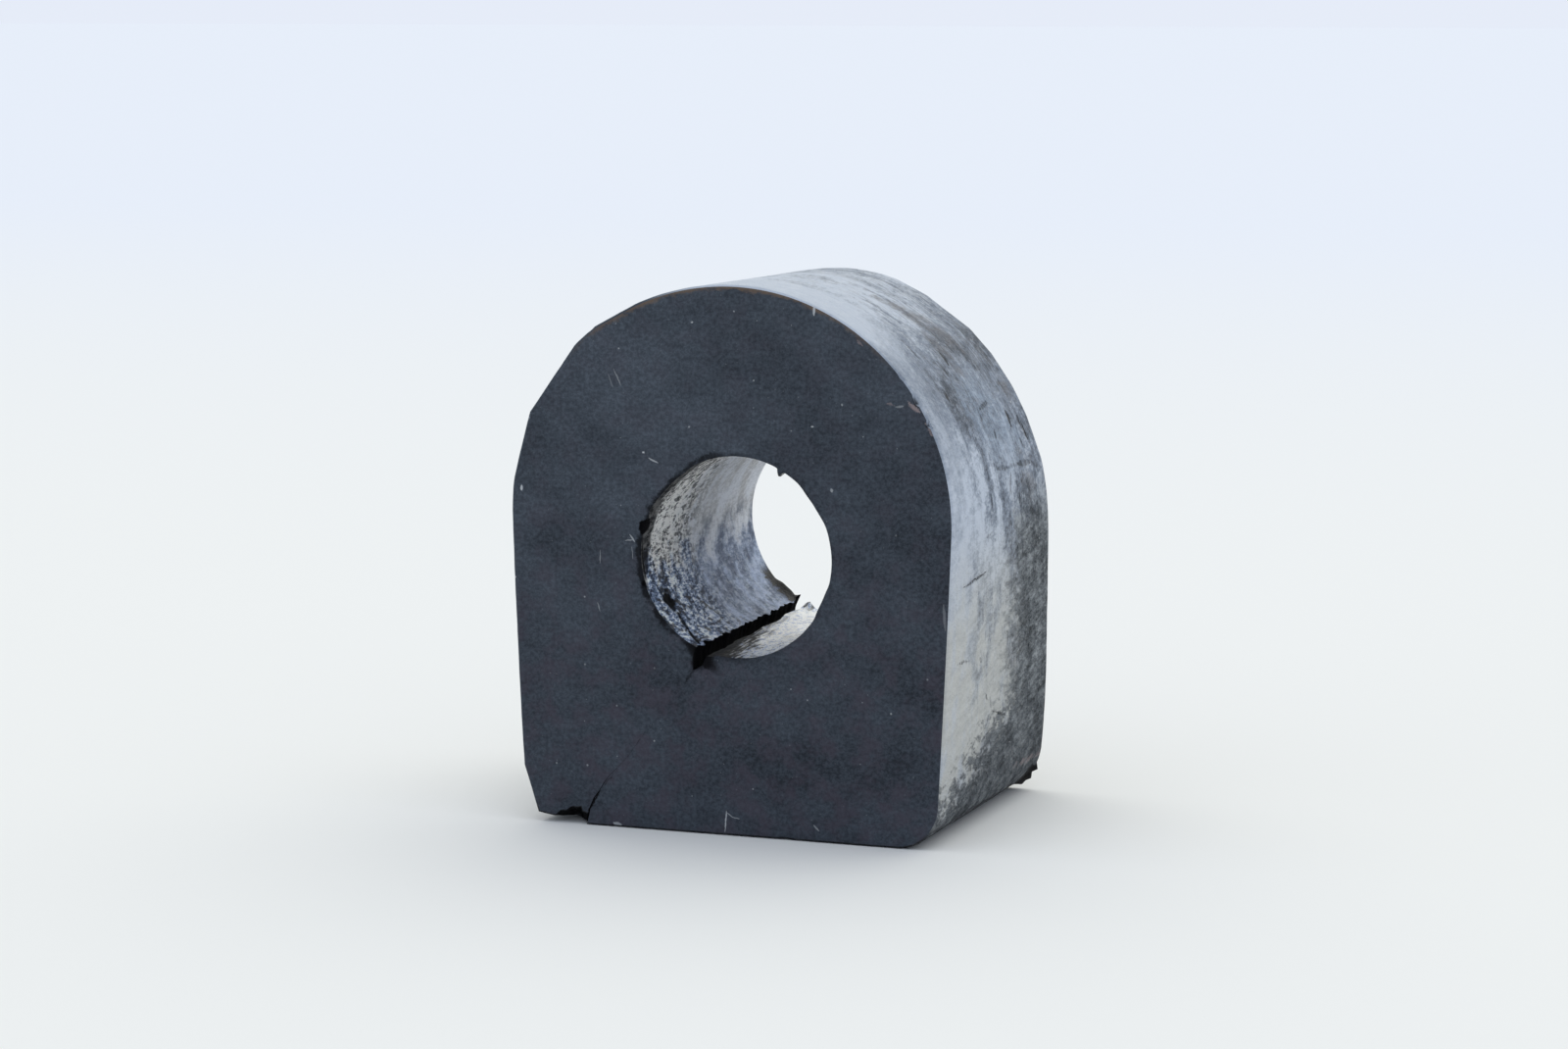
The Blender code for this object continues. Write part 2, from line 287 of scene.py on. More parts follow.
def wall_point(column, share, out, y):
    """A point of column, share of the way across the wall and out further, at y along the bore."""
    part = (y - FRONT) / LENGTH
    right = blend(RIGHT_LIP, part)
    left = blend(LEFT_LIP, part)
    turn = blend((right, left), SHARES[column])
    from_right = right - turn
    from_left = turn - left
    mouth = np.clip(1 - share * 9.0, 0.0, 1.0)
    tooth = LIP_JAG * line_noise(y, LIP_JAG_SIZE, 3.0) * mouth * smooth(1 - from_left / 4.5)
    wave = LIP_JAG * 0.4 * line_noise(y, LIP_JAG_SIZE * 3, 11.0) * mouth * smooth(1 - from_right / 6.0)
    turn = turn + tooth + wave
    worn = blend(LIP_ROUND, part) * smooth(1 - from_right / blend(LIP_ROUND_ANGLE, part)) ** 1.5 * mouth
    radius = bore_radius(turn, y) + worn
    angle = np.radians(turn)
    inner = np.stack((BORE_X + radius * np.sin(angle), BORE_Z + radius * np.cos(angle)), -1)
    outer = FRONT_OUTLINE[column] * (1 - part)[..., None] + BACK_OUTLINE[column] * part[..., None]
    across = outer - inner
    under_flap = column >= COLUMNS - SOLE_COLUMNS
    cut = np.where(under_flap, notch_rise(outer, y), 0.0) / np.abs(across[..., 1])
    share = share - cut * smooth((share - 0.75) / 0.25)
    unit = across / np.linalg.norm(across, axis=-1, keepdims=True)
    point = inner + across * share[..., None] + unit * out[..., None]
    return point + slit_shift(from_right, from_left, right - left, share, y)


def slit_shift(from_right, from_left, whole, share, y):
    """How far a point is moved so that the slit follows its path and closes below its mouth."""
    part = (y - FRONT) / LENGTH
    lip = np.radians((blend(RIGHT_LIP, part) + blend(LEFT_LIP, part)) / 2 + 180)
    mouth = np.stack((BORE_X + BORE_RADIUS[0] * np.sin(lip), BORE_Z + BORE_RADIUS[0] * np.cos(lip)), -1)
    down = np.array((-SLIT_FOOT, 0.0)) - mouth
    down = down / np.linalg.norm(down, axis=-1, keepdims=True)
    leftwards = np.stack((down[..., 1], -down[..., 0]), -1)
    along = share * SLIT_PATH[-1][0]
    wander = np.interp(along, *zip(*SLIT_PATH)) + 0.05 * line_noise(along, 0.8, 5.0) * smooth(along)
    gap = np.interp(along, *zip(*THROAT_HALF_GAP))
    half_mouth = np.radians(360 - whole) / 2 * blend(BORE_RADIUS, part)
    open_gap = half_mouth * (1 - share) + SLIT_FOOT_GAP * share
    closing = np.maximum(open_gap - gap, 0.0)
    near_right = smooth(1 - from_right / RIGHT_LIP_REACH)
    near_left = smooth(1 - from_left / LEFT_LIP_REACH)
    shift = (wander + closing) * near_right + (wander - closing) * near_left
    return leftwards * shift[..., None]


SHARES = column_share()
PROFILE = profile()


def bite(points, centre, radius, into, rough=0.0):
    """Push the points inside a ball to its far side, along a direction into the rubber."""
    into = np.array(into) / np.linalg.norm(into)
    offset = points - np.array(centre)
    reach = np.full(len(points), float(radius))
    inside = np.linalg.norm(offset, axis=1) < radius * (1 + rough)
    if rough:
        reach[inside] *= 1 + rough * fractal(points[inside], radius * 0.7, 2, 7.0)
    inside &= np.linalg.norm(offset, axis=1) < reach
    along = offset[inside] @ into
    depth = along ** 2 - (offset[inside] ** 2).sum(1) + reach[inside] ** 2
    points[inside] += into * (np.sqrt(np.maximum(depth, 0.0)) - along)[:, None]


def spike(points, base, tip, radius):
    """Draw the points round a base out into a pointed tent."""
    distance = np.linalg.norm(points - np.array(base), axis=1)
    pull = np.clip(1 - distance / radius, 0.0, 1.0) ** 1.6
    points += (np.array(tip) - np.array(base)) * pull[:, None]


def bore_place(turn, radius, y):
    """A point round the bore's axis, turn degrees from the top."""
    angle = math.radians(turn)
    return (BORE_X + radius * math.sin(angle), y, BORE_Z + radius * math.cos(angle))


def corner_fringe(points):
    """Draw ragged flash out of the rounded corner at the back."""
    radius = BACK_END["corner_radius"]
    centre = np.array((half_width(BACK_END, radius) - radius, radius))
    offset = points[:, [0, 2]] - centre
    below = np.degrees(np.arctan2(-offset[:, 1], offset[:, 0]))
    share = (below - FRINGE_ANGLES[0]) / (FRINGE_ANGLES[1] - FRINGE_ANGLES[0])
    distance = np.linalg.norm(offset, axis=1)
    outer = radius - FRINGE_DEPTH
    near = (share > 0) & (share < 1) & (distance > outer) & (points[:, 1] > BACK - FRINGE_REACH)
    spread = np.sin(math.pi * share[near]) ** 0.6
    line = np.zeros((near.sum(), 3))
    line[:, 0] = below[near] / FRINGE_TOOTH
    tooth = 0.6 + 1.1 * fractal(line, 1.0, 3, 4.0)
    close = smooth((points[near, 1] - BACK + FRINGE_REACH) / FRINGE_REACH)
    skin = smooth((distance[near] - outer) / FRINGE_DEPTH)
    rise = FRINGE_HEIGHT * spread * tooth * close * skin
    points[near, 0] += rise * offset[near, 0] / distance[near]
    points[near, 2] += rise * offset[near, 1] / distance[near]
    points[:, 2] = np.maximum(points[:, 2], 0.0)


def tear(points):
    """The chips, pits, spurs and dents, at the places where the photograph shows them.

    Returns how far each point was moved, which the materials darken as torn rubber with painted shade in the
    hollows.
    """
    before = points.copy()
    for turn, radius, y, size, facing, backwards, rough in BORE_CHIPS:
        into = np.array(bore_place(facing, 1.0, backwards)) - np.array(bore_place(facing, 0.0, 0.0))
        bite(points, bore_place(turn, radius, y), size, into, rough)
    for x, z, size in DENTS:
        bite(points, (x, FRONT, z), size, (-x, 0.4 * HALF_WIDTH, BORE_Z - z), 0.3)
    moved = np.linalg.norm(points - before, axis=1)
    for base, tip, radius in SPURS:
        spike(points, bore_place(*base), bore_place(*tip), radius)
    corner_fringe(points)
    return moved


def relief(points, normals):
    """Gentle unevenness all over: the skin more than the cut faces."""
    on_face = smooth((np.abs(normals[:, 1]) - 0.5) / 0.4)
    height = 0.0
    for seed, (size, full, less) in enumerate((RELIEF_BROAD, RELIEF_FINE), 1):
        height = height + fractal(points, size, 2, float(seed)) * (full - less * on_face)
    return normals * height[:, None]


def build_points():
    """All the points of the surface: columns by profile points, then the slit walls' inner points."""
    columns = np.arange(COLUMNS)[:, None]
    share, out, y = (np.array([point[index] for point in PROFILE], float)[None, :] for index in range(3))
    shape = (COLUMNS, len(PROFILE))
    share, out, y = (np.broadcast_to(value, shape) for value in (share, out, y))
    flat = wall_point(np.broadcast_to(columns, shape), share, out, y)
    swept = np.stack((flat[..., 0], y, flat[..., 1]), -1).reshape(-1, 3)
    grid_share, grid_y = np.meshgrid(ACROSS, ALONG, indexing="ij")
    grid_out = RIM_ROUND * (1 - 2 * grid_share)
    walls = []
    for column in (0, COLUMNS - 1):
        wall = wall_point(np.full(grid_share.shape, column), grid_share, grid_out, grid_y)
        walls.append(np.stack((wall[..., 0], grid_y, wall[..., 1]), -1).reshape(-1, 3))
    return np.concatenate([swept] + walls)


def build_faces():
    """The faces between those points, each with its region."""
    faces = []
    regions = []
    size = len(PROFILE)
    for column in range(COLUMNS - 1):
        for index in range(size):
            after = (index + 1) % size
            a = column * size
            b = a + size
            faces.append((a + index, a + after, b + after, b + index))
            regions.append(PROFILE[after][3])
    for wall, column in enumerate((0, COLUMNS - 1)):
        made = wall_faces(column * size, COLUMNS * size + wall * (WALL_ROWS + 1) * (LENGTH_ROWS + 1))
        faces.extend(face if column == 0 else face[::-1] for face in made)
        regions.extend("torn" for face in made)
    return faces, regions


def wall_faces(ring, grid):
    """The faces of one slit wall: a grid, the strips round it and a small face at each rounded corner.

    ring is the number of the wall's first profile point and grid that of its first inner point.
    """
    def inner(k, j):
        return grid + k * (LENGTH_ROWS + 1) + j

    front = ring
    first_round = front + WALL_ROWS + 1
    skin = first_round + ROUND_STEPS
    second_round = skin + LENGTH_ROWS + 1
    back = second_round + ROUND_STEPS
    third_round = back + WALL_ROWS + 1
    bore = third_round + ROUND_STEPS
    last_round = bore + LENGTH_ROWS + 1
    faces = []
    for k in range(WALL_ROWS):
        for j in range(LENGTH_ROWS):
            faces.append((inner(k, j), inner(k, j + 1), inner(k + 1, j + 1), inner(k + 1, j)))
        faces.append((front + k, inner(k, 0), inner(k + 1, 0), front + k + 1))
        faces.append((inner(k, LENGTH_ROWS), back + WALL_ROWS - k, back + WALL_ROWS - k - 1,
                      inner(k + 1, LENGTH_ROWS)))
    for j in range(LENGTH_ROWS):
        faces.append((inner(WALL_ROWS, j), inner(WALL_ROWS, j + 1), skin + j + 1, skin + j))
        faces.append((inner(0, j), bore + LENGTH_ROWS - j, bore + LENGTH_ROWS - j - 1, inner(0, j + 1)))
    steps = range(ROUND_STEPS)
    faces.append((inner(WALL_ROWS, 0), skin, *(first_round + s for s in reversed(steps)), front + WALL_ROWS))
    faces.append((inner(WALL_ROWS, LENGTH_ROWS), back, *(second_round + s for s in reversed(steps)),
                  skin + LENGTH_ROWS))
    faces.append((inner(0, LENGTH_ROWS), bore, *(third_round + s for s in reversed(steps)), back + WALL_ROWS))
    faces.append((inner(0, 0), front, *(last_round + s for s in reversed(steps)), bore + LENGTH_ROWS))
    return faces


def make_mesh(name, points, faces):
    """A mesh from points in millimetres."""
    mesh = bpy.data.meshes.new(name)
    mesh.from_pydata((points * MM).tolist(), [], faces)
    mesh.update()
    return mesh


REGIONS = ("front", "back", "skin", "bore", "torn")


def point_marks():
    """For each point: how far it is round the outline, round the bore and from the edges of the end faces."""
    columns = np.repeat(np.arange(COLUMNS), len(PROFILE))
    share = np.tile([point[0] for point in PROFILE], COLUMNS).astype(float)
    wall_share = np.repeat(ACROSS, LENGTH_ROWS + 1)
    wall_columns = np.repeat((0, COLUMNS - 1), len(wall_share))
    columns = np.concatenate((columns, wall_columns))
    share = np.concatenate((share, wall_share, wall_share))
    turn = blend((RIGHT_LIP[0], LEFT_LIP[0]), SHARES[columns])
    wall = np.linalg.norm(FRONT_OUTLINE - np.array((BORE_X, BORE_Z)), axis=1) - BORE_RADIUS[0]
    return {"around": ARC_LENGTH[columns], "turn": turn, "from_bore": share * wall[columns],
            "from_edge": (1 - share) * wall[columns]}


def notch_hollow_shade(points):
    """How deep each point lies in the notch's hollow, above the flap's own sole, where shade is painted."""
    reach = NOTCH_RADIUS + 0.4
    near = (points[:, 1] < FRONT + NOTCH_DEPTH) & (points[:, 0] < -SLIT_FOOT + 0.4)
    near &= np.hypot(points[:, 0] - NOTCH_X, points[:, 2] - NOTCH_Z) < reach
    hidden = points[:, 1] > FRONT + 0.05
    return np.where(near & hidden, 1.0, 0.0)


def set_mark(mesh, name, values):
    """Keep a number for each vertex, which the materials read by its name."""
    mesh.attributes.new(name, "FLOAT", "POINT").data.foreach_set("value", np.asarray(values, np.float32))


def build_bushing(materials):
    """The bushing's dressed surface, one closed mesh within the CAD model's box."""
    points = build_points()
    faces, regions = build_faces()
    scrap = make_mesh("scrap", points, faces)
    normals = np.empty(len(points) * 3)
    scrap.vertex_normals.foreach_get("vector", normals)
    bpy.data.meshes.remove(scrap)
    points = points + relief(points, normals.reshape(-1, 3))
    moved = tear(points)
    points = np.clip(points, LOWEST, HIGHEST)
    mesh = make_mesh("bushing_rubber", points, faces)
    for name, values in point_marks().items():
        set_mark(mesh, name, values)
    # the mark also carries the notch's hollow, which the materials paint black as shade
    set_mark(mesh, "moved", moved + notch_hollow_shade(points))
    for region in REGIONS:
        mesh.materials.append(materials[region])
    mesh.polygons.foreach_set("material_index", [REGIONS.index(region) for region in regions])
    mesh.shade_smooth()
    mesh.set_sharp_from_angle(angle=SHARP_ANGLE)
    piece = bpy.data.objects.new("bushing_rubber", mesh)
    bpy.context.scene.collection.objects.link(piece)
    return piece


# Colours of the bare and the bloomed rubber, and of the light, shade and reflections painted on it, as linear
# red, green and blue.
FACE_DARKEST = (0.021, 0.025, 0.032)
FACE_DARK = (0.040, 0.048, 0.061)
FACE_MIDDLE = (0.057, 0.069, 0.087)
FACE_LIGHT = (0.088, 0.105, 0.132)
FACE_TINT = (0.064, 0.054, 0.072)
FACE_SCRATCH = (0.500, 0.520, 0.540)
BLACK = (0.002, 0.002, 0.003)
TORN_LIGHT = (0.008, 0.008, 0.010)
SKIN_BARE = (0.040, 0.045, 0.054)
SKIN_DULL = (0.080, 0.094, 0.118)
# the bloom's tones, the paler ones partly painted sheen
SKIN_BLOOM = (0.240, 0.278, 0.345)
SKIN_PALE = (0.520, 0.570, 0.660)
# painted warm reflection low on the skin
SKIN_WARM = (0.540, 0.535, 0.495)
SKIN_WARM_DARK = (0.430, 0.425, 0.395)
SKIN_BLUE = (0.300, 0.375, 0.480)
SKIN_STAIN = (0.085, 0.080, 0.085)
SKIN_CREASE = (0.022, 0.027, 0.036)
SKIN_CRACK = (0.008, 0.010, 0.013)
SKIN_DUST = (0.600, 0.600, 0.620)
PATCH_DARK = (0.046, 0.051, 0.056)
PATCH_MIDDLE = (0.142, 0.156, 0.169)
PATCH_LIGHT = (0.310, 0.332, 0.348)
# painted shade along the base of the skin
BASE_SHADE = (0.022, 0.021, 0.023)
SEAT_DARK = (0.012, 0.013, 0.015)
SEAT_LIGHT = (0.040, 0.042, 0.046)
# The bore's tones down to BORE_FLOOR: painted light and reflections over its dark speckled rubber.
BORE_DARK = (0.018, 0.032, 0.066)
BORE_BLUE = (0.225, 0.325, 0.545)
BORE_PALE = (0.960, 1.000, 1.000)
BORE_WARM_DARK = (0.022, 0.022, 0.022)
BORE_WARM_MIDDLE = (0.380, 0.370, 0.355)
BORE_WARM = (0.920, 0.900, 0.860)
BORE_GLOW_DARK = (0.120, 0.118, 0.110)
BORE_GLOW = (1.000, 0.980, 0.940)
BORE_REAR_DARK = (0.130, 0.160, 0.235)
BORE_REAR = (0.470, 0.560, 0.760)
BORE_FLOOR_DARK = (0.360, 0.460, 0.720)
BORE_FLOOR = (0.980, 1.000, 1.000)
BORE_PIT = (0.016, 0.016, 0.018)
# painted shade on the bore's front rim
BORE_RIM_SHADE = (0.014, 0.015, 0.018)
DUST = (0.420, 0.440, 0.460)
BROWN = (0.150, 0.105, 0.075)
# PINK: the face's scuffs, and the painted highlight on the fold above the fringe
PINK = (0.300, 0.240, 0.240)

# Marks on the front face: start and end as x and z, width and strength.
FACE_MARKS = (
    ((8.9, 53.0), (8.85, 51.9), 0.26, 0.8),
    ((8.3, 14.1), (8.35, 14.1), 0.24, 0.7),
    ((-8.4, 37.3), (-7.4, 36.85), 0.16, 0.6),
    ((-9.0, 37.9), (-8.9, 37.8), 0.22, 0.9),
    ((-12.1, 46.0), (-11.3, 44.4), 0.14, 0.3),
    ((-12.7, 45.5), (-12.2, 44.2), 0.12, 0.2),
    ((-22.1, 34.0), (-22.05, 33.5), 0.26, 0.9),
    ((-0.15, 2.5), (-0.3, 0.3), 0.13, 0.8),
    ((-0.1, 2.3), (0.5, 1.85), 0.12, 0.5),
    ((0.5, 1.85), (1.2, 1.75), 0.12, 0.45),
    ((9.0, 1.7), (9.6, 1.1), 0.16, 0.4),
    ((-12.2, 0.35), (-11.4, 0.15), 0.35, 0.55),
    ((-13.6, 27.9), (-13.6, 26.6), 0.12, 0.3),
    ((-13.9, 22.6), (-13.6, 21.7), 0.12, 0.35),
    ((-10.4, 29.6), (-9.9, 28.9), 0.16, 0.55),
    ((-10.9, 29.0), (-10.1, 29.1), 0.12, 0.45),
    ((-10.2, 28.4), (-10.1, 27.2), 0.10, 0.3),
    ((22.2, 24.3), (22.4, 21.8), 0.28, 0.18),
    ((-3.8, 50.9), (-3.8, 50.8), 0.24, 0.8),
    ((0.6, 52.1), (0.6, 52.0), 0.20, 0.5),
    ((2.6, 45.4), (2.65, 45.4), 0.26, 0.6),
    ((8.7, 41.0), (8.7, 41.1), 0.28, 0.7),
    ((11.7, 43.3), (11.8, 43.3), 0.28, 0.5),
    ((-4.1, 40.5), (-4.1, 40.6), 0.22, 0.5),
    ((10.7, 35.1), (10.8, 34.8), 0.30, 0.5),
    ((17.2, 43.3), (18.0, 43.4), 0.22, 0.3),
)
EDGE_SCUFFS = (
    ((18.5, 43.8), (19.6, 42.9), 0.38, 0.75),
    ((16.3, 43.6), (17.1, 43.5), 0.3, 0.4),
    ((20.3, 41.9), (21.0, 40.7), 0.35, 0.5),
    ((13.3, 49.6), (13.8, 49.2), 0.3, 0.4),
    ((8.4, 53.2), (9.4, 53.0), 0.4, 0.5),
)

# The torn end of the slit on the front face and the hairline from it, given likewise.
SLIT_HAIRLINE = (
    ((-2.3, 18.3), (-3.2, 17.2), 3.8, 1.0),
    ((-3.2, 17.0), (-4.6, 15.0), 0.30, 0.6),
    ((-4.6, 15.0), (-12.2, 5.4), 0.10, 0.2),
    ((-12.2, 5.4), (-13.6, 3.6), 0.14, 0.5),
    ((-13.6, 3.6), (-15.1, 1.2), 0.22, 1.0),
)

# Brown-grey stains and the bluer ridge on the skin: start, end, width and strength.
SKIN_STAINS = (
    ((9.0, 2.0, 52.0), (16.0, 7.5, 47.0), 4.6, 0.60),
    ((13.5, 0.5, 49.0), (18.0, 2.0, 44.8), 3.2, 0.50),
    ((18.9, 12.5, 43.0), (19.9, 15.0, 41.6), 2.6, 0.60),
    ((22.4, 8.0, 33.8), (22.6, 12.5, 32.5), 3.0, 0.60),
    ((22.2, 8.0, 37.0), (22.4, 13.0, 35.2), 1.6, 0.55),
    ((22.8, 6.9, 9.5), (22.8, 12.7, 7.4), 3.4, 0.80),
)
SKIN_RIDGE = (((19.8, -2.0, 42.6), (21.8, 9.5, 37.8), 11.0, 0.6),)

# Cracks, creases and scratches in the skin and the bore, and the bore's brightest place, where light is
# painted.
DEEP_CRACKS = (
    ((16.4, 0.2, 47.2), (17.3, -0.2, 46.0), 0.90, 1.0),
    ((20.2, 1.4, 41.5), (19.9, 4.9, 41.9), 0.42, 0.7),
    ((20.4, 9.9, 40.6), (21.0, 9.7, 39.1), 0.85, 1.0),
    ((20.7, 13.1, 39.7), (21.5, 14.0, 37.4), 0.85, 1.0),
    ((22.5, 0.2, 35.7), (22.5, 3.6, 35.5), 0.45, 0.55),
    ((22.4, 7.6, 35.4), (22.4, 12.4, 35.1), 0.60, 0.60),
    ((23.0, -12.9, 25.4), (23.1, -4.6, 26.1), 0.24, 0.9),
)
SKIN_CRACKS = (
    ((17.0, -2.9, 46.5), (18.1, -2.7, 45.1), 0.90, 1.0),
    ((18.9, -7.3, 44.3), (19.7, -7.2, 43.1), 0.80, 0.9),
    ((14.8, -7.6, 49.0), (16.6, -7.4, 47.2), 0.60, 0.6),
    ((20.5, 0.8, 41.1), (20.9, 0.2, 40.4), 0.60, 0.6),
    ((21.2, 3.3, 39.3), (21.6, 2.6, 38.3), 0.60, 0.8),
    ((21.6, 11.2, 37.7), (21.9, 11.9, 36.6), 0.80, 0.7),
    ((22.3, -1.1, 36.4), (22.5, 0.2, 35.7), 0.40, 0.5),
    ((22.5, 3.6, 35.5), (22.4, 7.6, 35.4), 0.45, 0.5),
    ((22.4, 12.4, 35.1), (22.5, 15.8, 34.2), 0.55, 0.5),
    ((22.6, 4.5, 34.9), (23.0, 3.1, 32.8), 0.50, 0.6),
    ((22.8, 6.2, 34.0), (22.9, 6.3, 33.2), 0.70, 0.7),
    ((22.8, 9.6, 33.7), (22.9, 10.2, 32.5), 0.75, 0.7),
    ((22.9, -3.5, 33.6), (23.0, -3.6, 32.0), 0.60, 0.7),
    ((23.0, 6.6, 32.3), (23.1, 6.8, 31.0), 0.70, 0.7),
    ((23.1, -6.0, 29.4), (23.2, -3.8, 29.8), 0.30, 0.6),
    ((23.1, 3.9, 26.4), (23.1, 5.8, 27.6), 0.45, 0.7),
    ((22.7, -13.5, 18.0), (22.7, -8.9, 17.8), 0.26, 0.7),
    ((22.8, -6.4, 17.7), (22.8, -6.0, 17.1), 0.42, 0.9),
    ((22.7, -4.0, 13.6), (22.7, -3.2, 12.8), 0.36, 0.8),
    ((22.7, -2.3, 12.9), (22.6, -1.8, 11.4), 0.24, 0.7),
    ((22.6, -1.8, 11.5), (22.7, 3.9, 10.0), 0.26, 0.8),
)
BORE_CRACKS = (
    ((-7.0, -12.3, 21.3), (-5.4, -13.6, 19.8), 0.70, 0.9),
    ((-5.4, -13.6, 19.8), (-3.6, -15.1, 18.8), 0.70, 1.0),
    ((-9.25, -16.2, 28.9), (-9.15, -16.0, 25.0), 0.45, 1.0),
    ((-8.0, -13.4, 22.7), (-7.8, -11.8, 22.3), 2.60, 1.0),
    ((-8.7, -14.0, 24.2), (-8.0, -13.2, 22.8), 0.50, 0.7),
)
BORE_GLOW_PLACE = (((-8.9, -12.6, 30.6), (-7.0, -5.6, 34.2), 9.0, 1.0),)

# Noise on a flat map of a surface: its largest feature across and along the map, detail, roughness, seed, and
# the two levels between which it rises from 0 to 1.
FACE_PATTERNS = {
    "cloud": ((15.0, 9.0), 3.0, 0.55, 2.0, 0.32, 0.68),
    "smudge": ((3.4, 2.6), 4.0, 0.70, 5.0, 0.30, 0.70),
    "grain": ((0.42, 0.42), 2.0, 0.80, 0.0, 0.30, 0.70),
    "tint": ((2.6, 2.6), 3.0, 0.60, 8.0, 0.42, 0.68),
}
SKIN_PATTERNS = {
    "cloud": ((6.0, 3.6), 4.0, 0.60, 1.0, 0.32, 0.68),
    "streak": ((11.0, 1.6), 4.0, 0.65, 4.0, 0.30, 0.70),
    "mottle": ((1.3, 2.6), 4.0, 0.75, 3.0, 0.34, 0.66),
    "grain": ((0.5, 1.0), 2.0, 0.80, 6.0, 0.30, 0.70),
    "dash": ((2.4, 0.34), 2.0, 0.50, 7.0, 0.60, 0.68),
    "groove": ((18.0, 0.42), 2.0, 0.50, 21.0, 0.53, 0.62),
    "splinter": ((1.5, 0.28), 2.0, 0.60, 25.0, 0.40, 0.52),
}
HATCH_PATTERN = ((0.45, 3.4), 3.0, 0.70, 14.0, 0.32, 0.68)
HATCH_SLANT = (0.95, 0.32)
BORE_PATTERNS = {
    "cloud": ((3.6, 3.0), 4.0, 0.60, 2.0, 0.34, 0.66),
    "brushed": ((2.0, 0.7), 3.0, 0.70, 5.0, 0.36, 0.64),
    "speckle": ((0.42, 1.1), 3.0, 0.85, 8.0, 0.34, 0.66),
    "pits": ((0.8, 1.4), 3.0, 0.65, 11.0, 0.55, 0.61),
    "drag": ((0.40, 4.5), 3.0, 0.70, 15.0, 0.35, 0.65),
}

# The level of the bloom and painted sheen on the skin, and where it changes: axis, from, to and by how much.
BLOOM_AND_SHEEN_LEVEL = 0.92
BLOOM_AND_SHEEN_SLOPES = (
    ("y", -13.5, -5.0, -0.22),
    ("y", -9.0, -2.0, 0.06),
    ("y", 4.0, 16.0, -0.12),
    ("z", 33.0, 43.0, -0.27),
    # painted sheen: the top lighter, where the gloss reflects the bright surroundings
    ("z", 46.0, 53.0, 0.45),
)

RANGE_SOCKETS = ("From Min", "From Max", "To Min", "To Max")
STROKE_TAPER = 2.4          # how fast a stroke narrows towards its ends
STROKE_EDGE = (0.25, 0.75)  # shares of its width between which it fades


